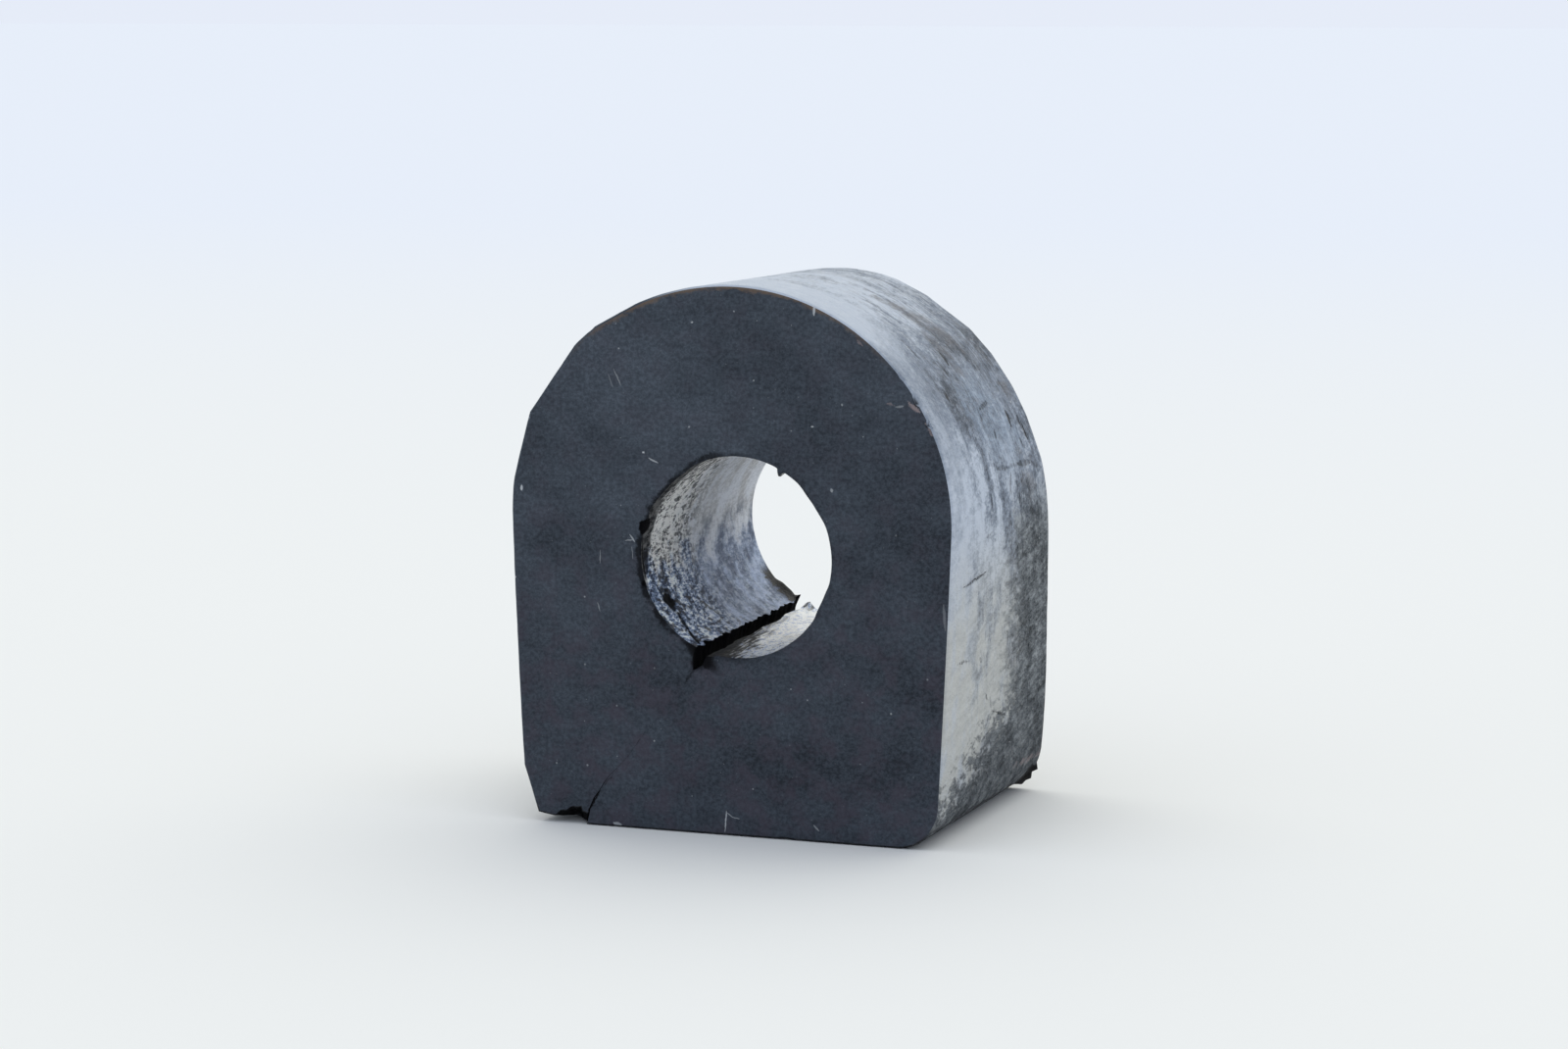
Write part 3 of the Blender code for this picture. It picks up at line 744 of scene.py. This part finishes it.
class Graph:
    """A material's nodes, with one short call for each kind."""

    def __init__(self, name):
        self.material = bpy.data.materials.new(name)
        self.material.use_nodes = True
        self.tree = self.material.node_tree
        self.shader = self.tree.nodes["Principled BSDF"]

    def add(self, kind, **settings):
        node = self.tree.nodes.new("ShaderNode" + kind)
        for key, value in settings.items():
            setattr(node, key, value)
        return node

    def feed(self, socket, value):
        if isinstance(value, bpy.types.NodeSocket):
            self.tree.links.new(value, socket)
        elif isinstance(value, tuple) and socket.type == "RGBA":
            socket.default_value = (*value, 1.0)
        else:
            socket.default_value = value

    def set(self, name, value):
        self.feed(self.shader.inputs[name], value)

    def math(self, operation, first, second=0.0):
        node = self.add("Math", operation=operation)
        self.feed(node.inputs[0], first)
        self.feed(node.inputs[1], second)
        return node.outputs[0]

    def times(self, *factors):
        """The product of the factors."""
        result = factors[0]
        for factor in factors[1:]:
            result = self.math("MULTIPLY", result, factor)
        return result

    def total(self, *terms):
        """The sum of each (value, weight)."""
        result = 0.0
        for value, weight in terms:
            result = self.weigh(value, weight, result)
        return result

    def weigh(self, value, weight, rest):
        node = self.add("Math", operation="MULTIPLY_ADD")
        self.feed(node.inputs[0], value)
        self.feed(node.inputs[1], weight)
        self.feed(node.inputs[2], rest)
        return node.outputs[0]

    def place(self):
        """Where a point lies on the object, in millimetres."""
        node = self.add("VectorMath", operation="SCALE")
        self.feed(node.inputs[0], self.add("TexCoord").outputs["Object"])
        node.inputs["Scale"].default_value = 1 / MM
        return node.outputs[0]

    def mark(self, name):
        """A number kept on the mesh under a name."""
        return self.add("Attribute", attribute_name=name).outputs["Fac"]

    def split(self, vector):
        node = self.add("SeparateXYZ")
        self.feed(node.inputs[0], vector)
        return node.outputs[0], node.outputs[1], node.outputs[2]

    def join(self, x, y, z=0.0):
        node = self.add("CombineXYZ")
        for socket, value in zip(node.inputs, (x, y, z)):
            self.feed(socket, value)
        return node.outputs[0]

    def noise(self, vector, size, detail=2.0, rough=0.5, seed=0.0):
        """Noise from 0 to 1, its features as large as size, one number or one for each axis."""
        sizes = size if isinstance(size, tuple) else (size, size, size)
        shift = self.add("VectorMath", operation="MULTIPLY_ADD")
        self.feed(shift.inputs[0], vector)
        shift.inputs[1].default_value = tuple(1 / value for value in sizes)
        shift.inputs[2].default_value = (seed, seed * 1.7, seed * 0.6)
        node = self.add("TexNoise")
        self.feed(node.inputs["Vector"], shift.outputs[0])
        node.inputs["Scale"].default_value = 1.0
        node.inputs["Detail"].default_value = detail
        node.inputs["Roughness"].default_value = rough
        return node.outputs["Fac"]

    def rise(self, value, low, high, start=0.0, end=1.0):
        """A soft step from start to end as a value goes from low to high."""
        node = self.add("MapRange", interpolation_type="SMOOTHSTEP")
        for name, number in zip(("Value", *RANGE_SOCKETS), (value, low, high, start, end)):
            self.feed(node.inputs[name], number)
        return node.outputs[0]

    def pattern(self, flat, size, detail, rough, seed, low, high):
        """Noise on a flat map that rises from 0 to 1 between two of its levels."""
        return self.rise(self.noise(flat, (*size, 1.0), detail, rough, seed), low, high)

    def patterns(self, flat, table):
        """Every pattern of a table, by its name."""
        return SimpleNamespace(**{name: self.pattern(flat, *values) for name, values in table.items()})

    def mix(self, share, first, second):
        node = self.add("Mix", data_type="RGBA")
        self.feed(node.inputs["Factor"], share)
        self.feed(node.inputs[6], first)
        self.feed(node.inputs[7], second)
        return node.outputs[2]

    def cover(self, colour, over, *masks):
        """A colour with another laid over it, as far as the product of the masks says."""
        return self.mix(self.times(*masks), colour, over)

    def ramp(self, value, *stops):
        node = self.add("ValToRGB")
        elements = node.color_ramp.elements
        while len(elements) < len(stops):
            elements.new(0.5)
        for element, (position, colour) in zip(elements, stops):
            element.position = position
            element.color = (*colour, 1.0)
        self.feed(node.inputs[0], value)
        return node.outputs[0]

    def specks(self, flat, spacing, radius, share, seed=0.0):
        """Round specks scattered on a flat map, in this share of its cells."""
        node = self.add("TexVoronoi", voronoi_dimensions="2D")
        shift = self.add("VectorMath", operation="MULTIPLY_ADD")
        self.feed(shift.inputs[0], flat)
        shift.inputs[1].default_value = (1 / spacing, 1 / spacing, 1.0)
        shift.inputs[2].default_value = (seed, seed, 0.0)
        self.feed(node.inputs["Vector"], shift.outputs[0])
        node.inputs["Scale"].default_value = 1.0
        red, green, _ = self.split(node.outputs["Color"])
        size = self.rise(green, 0.0, 1.0, radius * 0.4 / spacing, radius / spacing)
        near = self.rise(self.math("DIVIDE", node.outputs["Distance"], size), 0.5, 1.0, 1.0, 0.0)
        return self.math("MULTIPLY", near, self.math("LESS_THAN", red, share))

    def strokes(self, place, marks, wobble=0.12):
        """How strongly a place is covered by strokes, each with start, end, width and strength.

        A start and an end of two numbers lie on the front face.
        """
        group = stroke_group()
        shake = self.add("TexNoise")
        self.feed(shake.inputs["Vector"], place)
        shake.inputs["Scale"].default_value = 1.6
        shake.inputs["Detail"].default_value = 4.0
        shake.inputs["Roughness"].default_value = 0.7
        centred = self.add("VectorMath", operation="MULTIPLY_ADD")
        self.feed(centred.inputs[0], shake.outputs["Color"])
        centred.inputs[1].default_value = (wobble * 2,) * 3
        centred.inputs[2].default_value = (-wobble,) * 3
        shaken = self.add("VectorMath", operation="ADD")
        self.feed(shaken.inputs[0], place)
        self.feed(shaken.inputs[1], centred.outputs[0])
        result = 0.0
        for start, end, width, strength in marks:
            if len(start) == 2:
                start, end = ((x, FRONT, z) for x, z in (start, end))
            node = self.add("Group", node_tree=group)
            self.feed(node.inputs["Place"], shaken.outputs[0])
            node.inputs["Start"].default_value = start
            node.inputs["Along"].default_value = tuple(b - a for a, b in zip(start, end))
            node.inputs["Width"].default_value = width
            node.inputs["Strength"].default_value = strength
            result = self.math("MAXIMUM", node.outputs[0], result)
        return result

    def finish(self, colour, rough, height, specular, depth, strength):
        """The finished material, its relief given by height, 0 to 1 over a depth in millimetres."""
        node = self.add("Bump")
        node.inputs["Strength"].default_value = strength
        node.inputs["Distance"].default_value = depth * MM
        self.feed(node.inputs["Height"], height)
        self.set("Base Color", colour)
        self.set("Roughness", rough)
        self.set("Specular IOR Level", specular)
        self.set("Normal", node.outputs[0])
        return self.material


def stroke_group():
    """The node group that measures how near a place is to a line, tapering to the line's ends."""
    name = "stroke"
    if name in bpy.data.node_groups:
        return bpy.data.node_groups[name]
    group = bpy.data.node_groups.new(name, "ShaderNodeTree")
    for label in ("Place", "Start", "Along"):
        group.interface.new_socket(label, in_out="INPUT", socket_type="NodeSocketVector")
    for label in ("Width", "Strength"):
        group.interface.new_socket(label, in_out="INPUT", socket_type="NodeSocketFloat")
    group.interface.new_socket("Mask", in_out="OUTPUT", socket_type="NodeSocketFloat")
    source = group.nodes.new("NodeGroupInput").outputs
    target = group.nodes.new("NodeGroupOutput").inputs

    def node(kind, operation, *values):
        item = group.nodes.new("ShaderNode" + kind)
        item.operation = operation
        for index, value in enumerate(values):
            if isinstance(value, bpy.types.NodeSocket):
                group.links.new(value, item.inputs[index])
            else:
                item.inputs[index].default_value = value
        return item

    offset = node("VectorMath", "SUBTRACT", source["Place"], source["Start"]).outputs[0]
    dot = node("VectorMath", "DOT_PRODUCT", offset, source["Along"]).outputs["Value"]
    square = node("VectorMath", "DOT_PRODUCT", source["Along"], source["Along"]).outputs["Value"]
    share = node("Math", "DIVIDE", dot, square)
    share.use_clamp = True
    nearest = node("VectorMath", "SCALE", source["Along"])
    group.links.new(share.outputs[0], nearest.inputs["Scale"])
    gap = node("VectorMath", "DISTANCE", offset, nearest.outputs[0]).outputs["Value"]
    centred = node("Math", "SUBTRACT", share.outputs[0], 0.5).outputs[0]
    taper = node("Math", "MULTIPLY", centred, centred).outputs[0]
    slim = node("Math", "MULTIPLY_ADD", taper, -STROKE_TAPER, 1.0).outputs[0]
    half = node("Math", "MULTIPLY", source["Width"], slim).outputs[0]
    ratio = node("Math", "DIVIDE", gap, half).outputs[0]
    near = group.nodes.new("ShaderNodeMapRange")
    near.interpolation_type = "SMOOTHSTEP"
    group.links.new(ratio, near.inputs["Value"])
    for label, number in zip(RANGE_SOCKETS, (*STROKE_EDGE, 1.0, 0.0)):
        near.inputs[label].default_value = number
    group.links.new(node("Math", "MULTIPLY", near.outputs[0], source["Strength"]).outputs[0], target["Mask"])
    return group


def face_dust(graph, face, flat, colour):
    """Fine specks where the face is smudged, and larger ones where it is clouded."""
    fine = graph.times(graph.specks(flat, 0.8, 0.08, 0.22), graph.rise(face.smudge, 0.2, 1.0, 0.03, 0.20))
    large = graph.times(graph.specks(flat, 3.6, 0.13, 0.25, 3.3), graph.rise(face.cloud, 0.0, 1.0, 0.2, 0.6))
    return graph.cover(colour, DUST, graph.math("MAXIMUM", fine, large))


def face_edges(graph, flat, x, z, colour):
    """Brown where the top edge is worn, and black painted shade round the bore's rim, most of all on its
    left.
    """
    ragged = graph.noise(flat, (1.8, 0.8, 1.0), 4.0, 0.75, 9.0)
    edge = graph.rise(graph.weigh(ragged, 1.6, graph.mark("from_edge")), 0.85, 1.25, 1.0, 0.0)
    colour = graph.cover(colour, BROWN, edge, graph.rise(z, 46.0, 53.0, 0.0, 0.75))
    # painted shade: black round the bore's rim, most of all on its left
    ragged = graph.noise(flat, 1.3, 4.0, 0.75, 4.0)
    rim = graph.rise(graph.weigh(ragged, 2.0, graph.mark("from_bore")), 0.95, 1.4, 0.85, 0.0)
    return graph.cover(colour, BLACK, rim, graph.rise(x, 4.0, -4.0, 0.2, 1.0))


def cut_face(name, marked):
    """The end faces: matte charcoal, clouded, dusty and scuffed. The front one has the photograph's marks."""
    graph = Graph(name)
    place = graph.place()
    x, _, z = graph.split(place)
    flat = graph.join(x, z)
    face = graph.patterns(flat, FACE_PATTERNS)
    lean = graph.rise(graph.total((x, -0.8), (z, 1.0)), -8.0, 62.0)
    tone = graph.total((face.cloud, 0.22), (face.smudge, 0.17), (lean, 0.16), (face.grain, 0.34))
    colour = graph.ramp(tone, (0.12, FACE_DARKEST), (0.34, FACE_DARK), (0.58, FACE_MIDDLE),
                        (0.88, FACE_LIGHT))
    colour = graph.cover(colour, FACE_TINT, face.tint, graph.rise(z, 40.0, 10.0, 0.165, 0.55))
    colour = face_dust(graph, face, flat, colour)
    colour = face_edges(graph, flat, x, z, colour)
    height = graph.total((face.grain, 0.4), (face.smudge, 0.6))
    if marked:
        colour = graph.cover(colour, PINK, graph.strokes(place, EDGE_SCUFFS, 0.45))
        colour = graph.cover(colour, FACE_SCRATCH, graph.strokes(place, FACE_MARKS, 0.12))
        hairline = graph.strokes(place, SLIT_HAIRLINE, 0.35)
        colour = graph.cover(colour, BLACK, hairline)
        height = graph.weigh(hairline, -0.8, height)
    # black where rubber was bitten away and in the notch's hollow: torn rubber, and painted shade in the
    # hollows
    colour = graph.cover(colour, BLACK, graph.rise(graph.mark("moved"), 0.05, 0.3))
    rough = graph.rise(tone, 0.2, 0.8, 0.82, 0.62)
    return graph.finish(colour, rough, height, specular=0.1, depth=0.07, strength=0.7)


def skin_patterns(graph, around, y, z):
    """The skin's noises, on a map of millimetres round the block and along it."""
    flat = graph.join(around, y)
    skin = graph.patterns(flat, SKIN_PATTERNS)
    skin.flat = flat
    along, aside = HATCH_SLANT
    slanted = graph.join(graph.total((around, along), (y, -aside)), graph.total((around, aside), (y, along)))
    skin.hatch = graph.pattern(slanted, *HATCH_PATTERN)
    skin.high = graph.rise(z, 22.0, 33.0)
    skin.streak = graph.weigh(graph.math("SUBTRACT", skin.streak, 0.5), skin.high, 0.5)
    return skin


def skin_patch(graph, skin, y, z):
    """Where the skin is bare and rough: low down and behind, with a ragged border."""
    low = graph.total((y, 0.36), (z, -1.0), (skin.mottle, 5.0), (skin.cloud, 1.5))
    side = graph.total((y, 1.0), (skin.mottle, 5.0), (skin.cloud, 3.0))
    side = graph.times(graph.rise(side, 4.5, 12.0), graph.rise(z, 37.0, 27.0))
    return graph.math("MAXIMUM", graph.rise(low, -8.6, -4.2), side)


def patch_colour(graph, skin, z):
    """The bare rough patch: hatched grey, darker at the bottom."""
    tone = graph.total((skin.mottle, 0.20), (skin.hatch, 0.25), (skin.grain, 0.30), (skin.cloud, 0.25))
    colour = graph.ramp(tone, (0.2, PATCH_DARK), (0.5, PATCH_MIDDLE), (0.85, PATCH_LIGHT))
    return graph.cover(colour, SKIN_BARE, graph.rise(z, 16.0, 5.0, 0.0, 0.35))


def skin_bloom_and_sheen(graph, skin, y, z):
    """The grey-blue bloom with painted sheen, clouded and streaked about a level that changes with the place.
    """
    axes = {"y": y, "z": z}
    slopes = [(graph.rise(axes[axis], low, high), change) for axis, low, high, change in BLOOM_AND_SHEEN_SLOPES]
    level = graph.math("ADD", graph.total(*slopes), BLOOM_AND_SHEEN_LEVEL)
    spread = graph.total((skin.cloud, 0.50), (skin.streak, 0.22), (skin.mottle, 0.14), (skin.hatch, 0.18),
                         (skin.grain, 0.26))
    uneven = graph.times(graph.rise(y, -13.5, -5.0, 0.40, 0.95), graph.rise(z, 32.0, 53.0, 1.0, 0.55))
    bloom = graph.weigh(graph.math("SUBTRACT", spread, 0.65), uneven, level)
    return graph.ramp(bloom, (0.0, SKIN_BARE), (0.28, SKIN_DULL), (0.60, SKIN_BLOOM), (0.92, SKIN_PALE))


def skin_tints(graph, skin, place, z, colour):
    """Warmer low down as a painted warm reflection, bluer on the ridge, and stained."""
    # painted reflection: warmer low down on the skin
    warm = graph.mix(graph.total((skin.mottle, 0.4), (skin.hatch, 0.6)), SKIN_WARM_DARK, SKIN_WARM)
    colour = graph.cover(colour, warm, graph.rise(z, 34.0, 18.0), graph.rise(skin.cloud, 0.0, 0.8, 0.4, 0.85))
    ridge = graph.mix(skin.grain, SKIN_BLOOM, SKIN_BLUE)
    colour = graph.cover(colour, ridge, graph.strokes(place, SKIN_RIDGE, 1.6))
    stain = graph.strokes(place, SKIN_STAINS, 1.6)
    return graph.cover(colour, SKIN_STAIN, stain, graph.rise(skin.mottle, 0.0, 0.7, 0.35, 1.0))


def skin_lines(graph, skin, y, z):
    """Fine grooves, dashes and creases, which run round the block and fade towards its front."""
    contour = graph.math("SUBTRACT", graph.noise(skin.flat, (4.0, 1.1, 1.0), 3.0, 0.6, 12.0), 0.5)
    crease = graph.rise(graph.math("ABSOLUTE", contour), 0.004, 0.022, 1.0, 0.0)
    crease = graph.times(crease, graph.rise(skin.cloud, 0.75, 0.25))
    groove = graph.times(skin.groove, graph.rise(y, 3.0, 9.0), graph.rise(z, 40.0, 46.0, 0.0, 0.6))
    dashes = graph.times(skin.dash, graph.weigh(skin.high, 0.65, 0.1))
    lines = graph.math("MAXIMUM", groove, graph.math("MAXIMUM", dashes, crease))
    return graph.times(lines, graph.rise(y, -11.0, 0.0, 0.08, 0.60))


def skin_edges(graph, skin, x, y, z, colour):
    """The pale fold's painted highlight, the fringe's black painted shade, painted shade along the base, the
    dark front rim.
    """
    right = graph.rise(x, 0.0, 5.0)
    # painted highlight on the pale fold above the fringe
    fold = graph.math("ABSOLUTE", graph.weigh(skin.mottle, 0.5, graph.math("SUBTRACT", z, 4.3)))
    colour = graph.cover(colour, PINK, graph.rise(fold, 0.15, 0.4, 1.0, 0.0), right,
                         graph.rise(y, 5.0, 11.0, 0.0, 0.55), graph.rise(skin.hatch, 0.1, 0.7))
    # painted shade: the fringe's underside painted black
    fringe = graph.rise(graph.weigh(skin.mottle, 1.6, y), BACK - 2.6, BACK - 1.8)
    low = graph.rise(graph.weigh(skin.mottle, -0.8, z), 2.9, 2.2)
    colour = graph.cover(colour, BLACK, fringe, low, right)
    # painted shade along the base, where the rounded edge faces down
    base = graph.rise(graph.weigh(skin.mottle, 1.8, z), 3.2, 1.5, 0.0, 0.92)
    colour = graph.cover(colour, BASE_SHADE, base)
    rim = graph.rise(graph.weigh(skin.grain, 0.25, y), FRONT + 0.55, FRONT + 0.30)
    return graph.cover(colour, FACE_MIDDLE, rim, graph.rise(x, -2.0, -10.0))


def skin_finish():
    """The moulded outer skin: bloom and painted sheen with rubbed streaks, a bare rough patch, cracks and
    scratches.
    """
    graph = Graph("skin")
    place = graph.place()
    x, y, z = graph.split(place)
    around = graph.mark("around")
    moved = graph.mark("moved")
    skin = skin_patterns(graph, around, y, z)
    patch = skin_patch(graph, skin, y, z)
    colour = skin_tints(graph, skin, place, z, skin_bloom_and_sheen(graph, skin, y, z))
    colour = graph.cover(colour, patch_colour(graph, skin, z), patch)
    colour = graph.cover(colour, SKIN_CREASE, skin_lines(graph, skin, y, z))
    colour = skin_edges(graph, skin, x, y, z, colour)
    cracks = graph.strokes(place, DEEP_CRACKS + SKIN_CRACKS, 0.35)
    colour = graph.cover(colour, SKIN_CRACK, cracks, graph.weigh(skin.splinter, 0.9, 0.1))
    colour = graph.cover(colour, SKIN_DUST, graph.specks(skin.flat, 2.6, 0.14, 0.22, 1.9), 0.7)
    colour = graph.cover(colour, SKIN_BARE, graph.rise(moved, 0.1, 0.4))
    sole = graph.rise(around, SOLE_START - 1.0, SOLE_START - 0.4)
    seat = graph.math("MAXIMUM", graph.rise(z, 0.35, 0.15), sole)
    colour = graph.cover(colour, graph.mix(skin.mottle, SEAT_DARK, SEAT_LIGHT), seat)
    # painted shade: black in the notch's hollow
    colour = graph.cover(colour, BLACK, graph.rise(moved, 0.6, 0.9))
    rough = graph.weigh(patch, 0.22, graph.rise(skin.mottle, 0.0, 1.0, 0.58, 0.44))
    pitted = graph.times(skin.mottle, graph.rise(patch, 0.0, 1.0, 0.3, 1.5))
    height = graph.total((pitted, 0.8), (skin.streak, 0.25), (skin.grain, 0.2),
                         (graph.strokes(place, DEEP_CRACKS, 0.35), -1.0))
    return graph.finish(colour, rough, height, specular=0.07, depth=0.3, strength=0.85)


def bore_walls(graph, place, tone, lower):
    """The front part of the bore, painted light: warm, pale and brightest at the top left; blue reflection,
    speckled, below.
    """
    upper = graph.ramp(tone, (0.22, BORE_WARM_DARK), (0.42, BORE_WARM_MIDDLE), (0.64, BORE_WARM))
    # painted highlight: light at the top left, brightest in the given place
    glow = graph.mix(graph.rise(tone, 0.2, 0.42), BORE_GLOW_DARK, BORE_GLOW)
    upper = graph.cover(upper, glow, graph.strokes(place, BORE_GLOW_PLACE, 1.0))
    below = graph.ramp(tone, (0.25, BORE_DARK), (0.48, BORE_BLUE), (0.74, BORE_PALE))
    return graph.mix(lower, upper, below)


def bore_rear(graph, bore, lower):
    """The rear part of the bore: smooth, a painted reflection, blue below and warmer above."""
    tone = graph.total((bore.cloud, 0.75), (bore.brushed, 0.08), (bore.speckle, 0.17))
    below = graph.ramp(tone, (0.15, BORE_REAR_DARK), (0.85, BORE_REAR))
    return graph.mix(lower, graph.mix(0.55, below, BORE_WARM), below)


def bore_rim_shade(graph, flat, turn, y):
    """Painted shade on the dark ragged edge at the front, widest at the top left."""
    ragged = graph.weigh(graph.noise(flat, (2.2, 1.1, 1.0), 4.0, 0.7, 3.0), 5.5, y)
    wide = graph.rise(graph.math("ABSOLUTE", graph.math("ADD", turn, 52.0)), 75.0, 25.0, 0.0, 2.8)
    return graph.rise(graph.math("SUBTRACT", ragged, wide), FRONT + 3.2, FRONT + 2.2, 0.0, 0.86)


def bore_finish():
    """The bore: pitted and speckled in front, smooth behind, painted light on its walls, painted black shade
    at the slit's lips.
    """
    graph = Graph("bore_wall")
    place = graph.place()
    _, y, _ = graph.split(place)
    turn = graph.mark("turn")
    flat = graph.join(graph.times(turn, math.radians(BORE_RADIUS[0])), y)
    bore = graph.patterns(flat, BORE_PATTERNS)
    under = graph.rise(graph.math("ABSOLUTE", graph.math("SUBTRACT", turn, 165.0)), 52.0, 34.0)
    lower = graph.math("MAXIMUM", graph.rise(graph.weigh(bore.cloud, 26.0, turn), -76.0, -100.0), under)
    tone = graph.total((bore.cloud, 0.25), (bore.brushed, 0.15), (bore.speckle, 0.60))
    rear = graph.rise(graph.weigh(bore.cloud, 4.0, y), -7.0, 3.0, 0.0, 0.85)
    colour = graph.cover(bore_walls(graph, place, tone, lower), bore_rear(graph, bore, lower), rear)
    # painted reflection of the bright background on the bore's floor, streaked dark
    floor_reflection = graph.mix(graph.rise(tone, 0.28, 0.50), BORE_FLOOR_DARK, BORE_FLOOR)
    colour = graph.cover(colour, floor_reflection, under, 0.9)
    pits = graph.times(bore.pits, graph.rise(graph.weigh(bore.cloud, -4.0, y), 1.0, -9.0))
    colour = graph.cover(colour, BORE_PIT, pits, 0.85)
    # painted shade on the bore's ragged front rim, widest at the top left
    rim = bore_rim_shade(graph, flat, turn, y)
    colour = graph.cover(colour, BORE_RIM_SHADE, rim)
    # painted shade: black beside the slit's right lip and along the back edge at both lips
    back_edge_shade = graph.rise(graph.weigh(bore.speckle, 1.6, y), BACK - 1.8, BACK - 0.9)
    right_lip = graph.total((turn, 1.0), (y, -1.0), (bore.drag, 12.0), (bore.speckle, 3.0), (back_edge_shade, 14.0))
    shade = graph.rise(right_lip, 193.0, 207.0)
    colour = graph.cover(colour, BLACK, shade)
    colour = graph.cover(colour, BLACK, graph.rise(turn, -125.0, -133.0), back_edge_shade)
    cracks = graph.strokes(place, BORE_CRACKS, 0.25)
    colour = graph.cover(colour, BLACK, cracks)
    # black in the chips: torn rubber, and painted shade in their hollows
    colour = graph.cover(colour, BLACK, graph.rise(graph.mark("moved"), 0.05, 0.2))
    rough = graph.weigh(under, -0.40, graph.rise(tone, 0.2, 0.8, 0.60, 0.48))
    rough = graph.total((rough, 1.0), (shade, 0.5), (cracks, 0.5), (rim, 0.5))
    height = graph.total((bore.speckle, 0.5), (bore.brushed, 0.2), (pits, -0.9), (cracks, -1.0))
    height = graph.times(height, graph.rise(under, 0.0, 1.0, 1.0, 0.3))
    return graph.finish(colour, rough, height, specular=0.20, depth=0.14, strength=0.8)


def torn_finish():
    """The inside of the slit: black torn rubber."""
    graph = Graph("torn")
    rough = graph.noise(graph.place(), (0.8, 0.5, 0.8), 4.0, 0.7)
    colour = graph.ramp(rough, (0.3, BLACK), (0.75, TORN_LIGHT))
    return graph.finish(colour, 0.9, rough, specular=0.05, depth=0.3, strength=0.8)


# Camera, as in the photograph.
CAMERA_AZIMUTH = math.radians(19.75)
CAMERA_ELEVATION = math.radians(7.455)
CAMERA_ROLL = math.radians(0.155)
CAMERA_DISTANCE = 379.5
CAMERA_TARGET = (5.83, -16.7, 31.36)
CAMERA_LENS = 89.19
SENSOR_WIDTH = 36.0

# Floor and light.
FLOOR_SIZE = 60.0
FLOOR_COLOUR = (0.900, 0.900, 0.900)
FLOOR_FAR_COLOUR = (0.840, 0.870, 0.960)
BACKGROUND = (0.79, 0.84, 0.94)
SKY_COLOUR = (0.80, 0.88, 1.0)
SKY_STRENGTH = 0.79
LAMP_STRENGTH = 1.22
LAMP_COLOUR = (1.0, 0.91, 0.64)
LAMP_DIRECTION = (-0.06, 0.57, 0.82)
LAMP_ANGLE = math.radians(100)


def make_camera():
    """The camera at the photograph's place."""
    back = Vector((math.sin(CAMERA_AZIMUTH) * math.cos(CAMERA_ELEVATION),
                   -math.cos(CAMERA_AZIMUTH) * math.cos(CAMERA_ELEVATION), math.sin(CAMERA_ELEVATION)))
    right = Vector((0.0, 0.0, 1.0)).cross(back).normalized()
    basis = Matrix((right, back.cross(right), back)).transposed().to_4x4()
    data = bpy.data.cameras.new("camera")
    data.lens = CAMERA_LENS
    data.sensor_width = SENSOR_WIDTH
    data.clip_start = 0.01
    data.clip_end = 200.0
    camera = bpy.data.objects.new("camera", data)
    bpy.context.scene.collection.objects.link(camera)
    place = (Vector(CAMERA_TARGET) + back * CAMERA_DISTANCE) * MM
    camera.matrix_world = Matrix.Translation(place) @ basis @ Matrix.Rotation(CAMERA_ROLL, 4, "Z")
    bpy.context.scene.camera = camera


def make_floor():
    """A pale floor, wide enough to fill the view, a little bluer far behind."""
    bpy.ops.mesh.primitive_plane_add(size=FLOOR_SIZE, location=(0.0, 0.0, -0.00005))
    floor = bpy.context.object
    floor.name = "floor"
    graph = Graph("floor")
    _, y, _ = graph.split(graph.add("TexCoord").outputs["Object"])
    graph.set("Base Color", graph.mix(graph.rise(y, 0.0, 1.2), FLOOR_COLOUR, FLOOR_FAR_COLOUR))
    graph.set("Roughness", 0.9)
    graph.set("Specular IOR Level", 0.0)
    floor.data.materials.append(graph.material)


def make_world():
    """A pale sky for light, and the plain background that the camera and reflections see."""
    world = bpy.data.worlds.new("world")
    world.use_nodes = True
    tree = world.node_tree
    sky = tree.nodes["Background"]
    sky.inputs["Color"].default_value = (*SKY_COLOUR, 1.0)
    sky.inputs["Strength"].default_value = SKY_STRENGTH
    seen = tree.nodes.new("ShaderNodeBackground")
    seen.inputs["Color"].default_value = (*BACKGROUND, 1.0)
    rays = tree.nodes.new("ShaderNodeLightPath")
    seeing = rays.outputs["Is Camera Ray"]
    for kind in ("Is Glossy Ray", "Is Transmission Ray"):
        either = tree.nodes.new("ShaderNodeMath")
        either.operation = "MAXIMUM"
        tree.links.new(seeing, either.inputs[0])
        tree.links.new(rays.outputs[kind], either.inputs[1])
        seeing = either.outputs[0]
    pick = tree.nodes.new("ShaderNodeMixShader")
    tree.links.new(seeing, pick.inputs[0])
    tree.links.new(sky.outputs[0], pick.inputs[1])
    tree.links.new(seen.outputs[0], pick.inputs[2])
    tree.links.new(pick.outputs[0], tree.nodes["World Output"].inputs["Surface"])
    bpy.context.scene.world = world


def make_lamp():
    """A very soft lamp far above and behind, so that the floor is lit evenly."""
    data = bpy.data.lights.new("softbox", "SUN")
    data.energy = LAMP_STRENGTH
    data.angle = LAMP_ANGLE
    data.color = LAMP_COLOUR
    lamp = bpy.data.objects.new("softbox", data)
    bpy.context.scene.collection.objects.link(lamp)
    lamp.rotation_euler = Vector(LAMP_DIRECTION).to_track_quat("Z", "Y").to_euler()


def main():
    """Dress the bushing and light it."""
    make_camera()
    make_world()
    make_lamp()
    make_floor()
    bushing = build_bushing({
        "front": cut_face("front_face", True),
        "back": cut_face("back_face", False),
        "skin": skin_finish(),
        "bore": bore_finish(),
        "torn": torn_finish(),
    })
    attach(bushing, "root")
    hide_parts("bushing")
    bpy.context.scene.view_settings.view_transform = "Standard"


main()
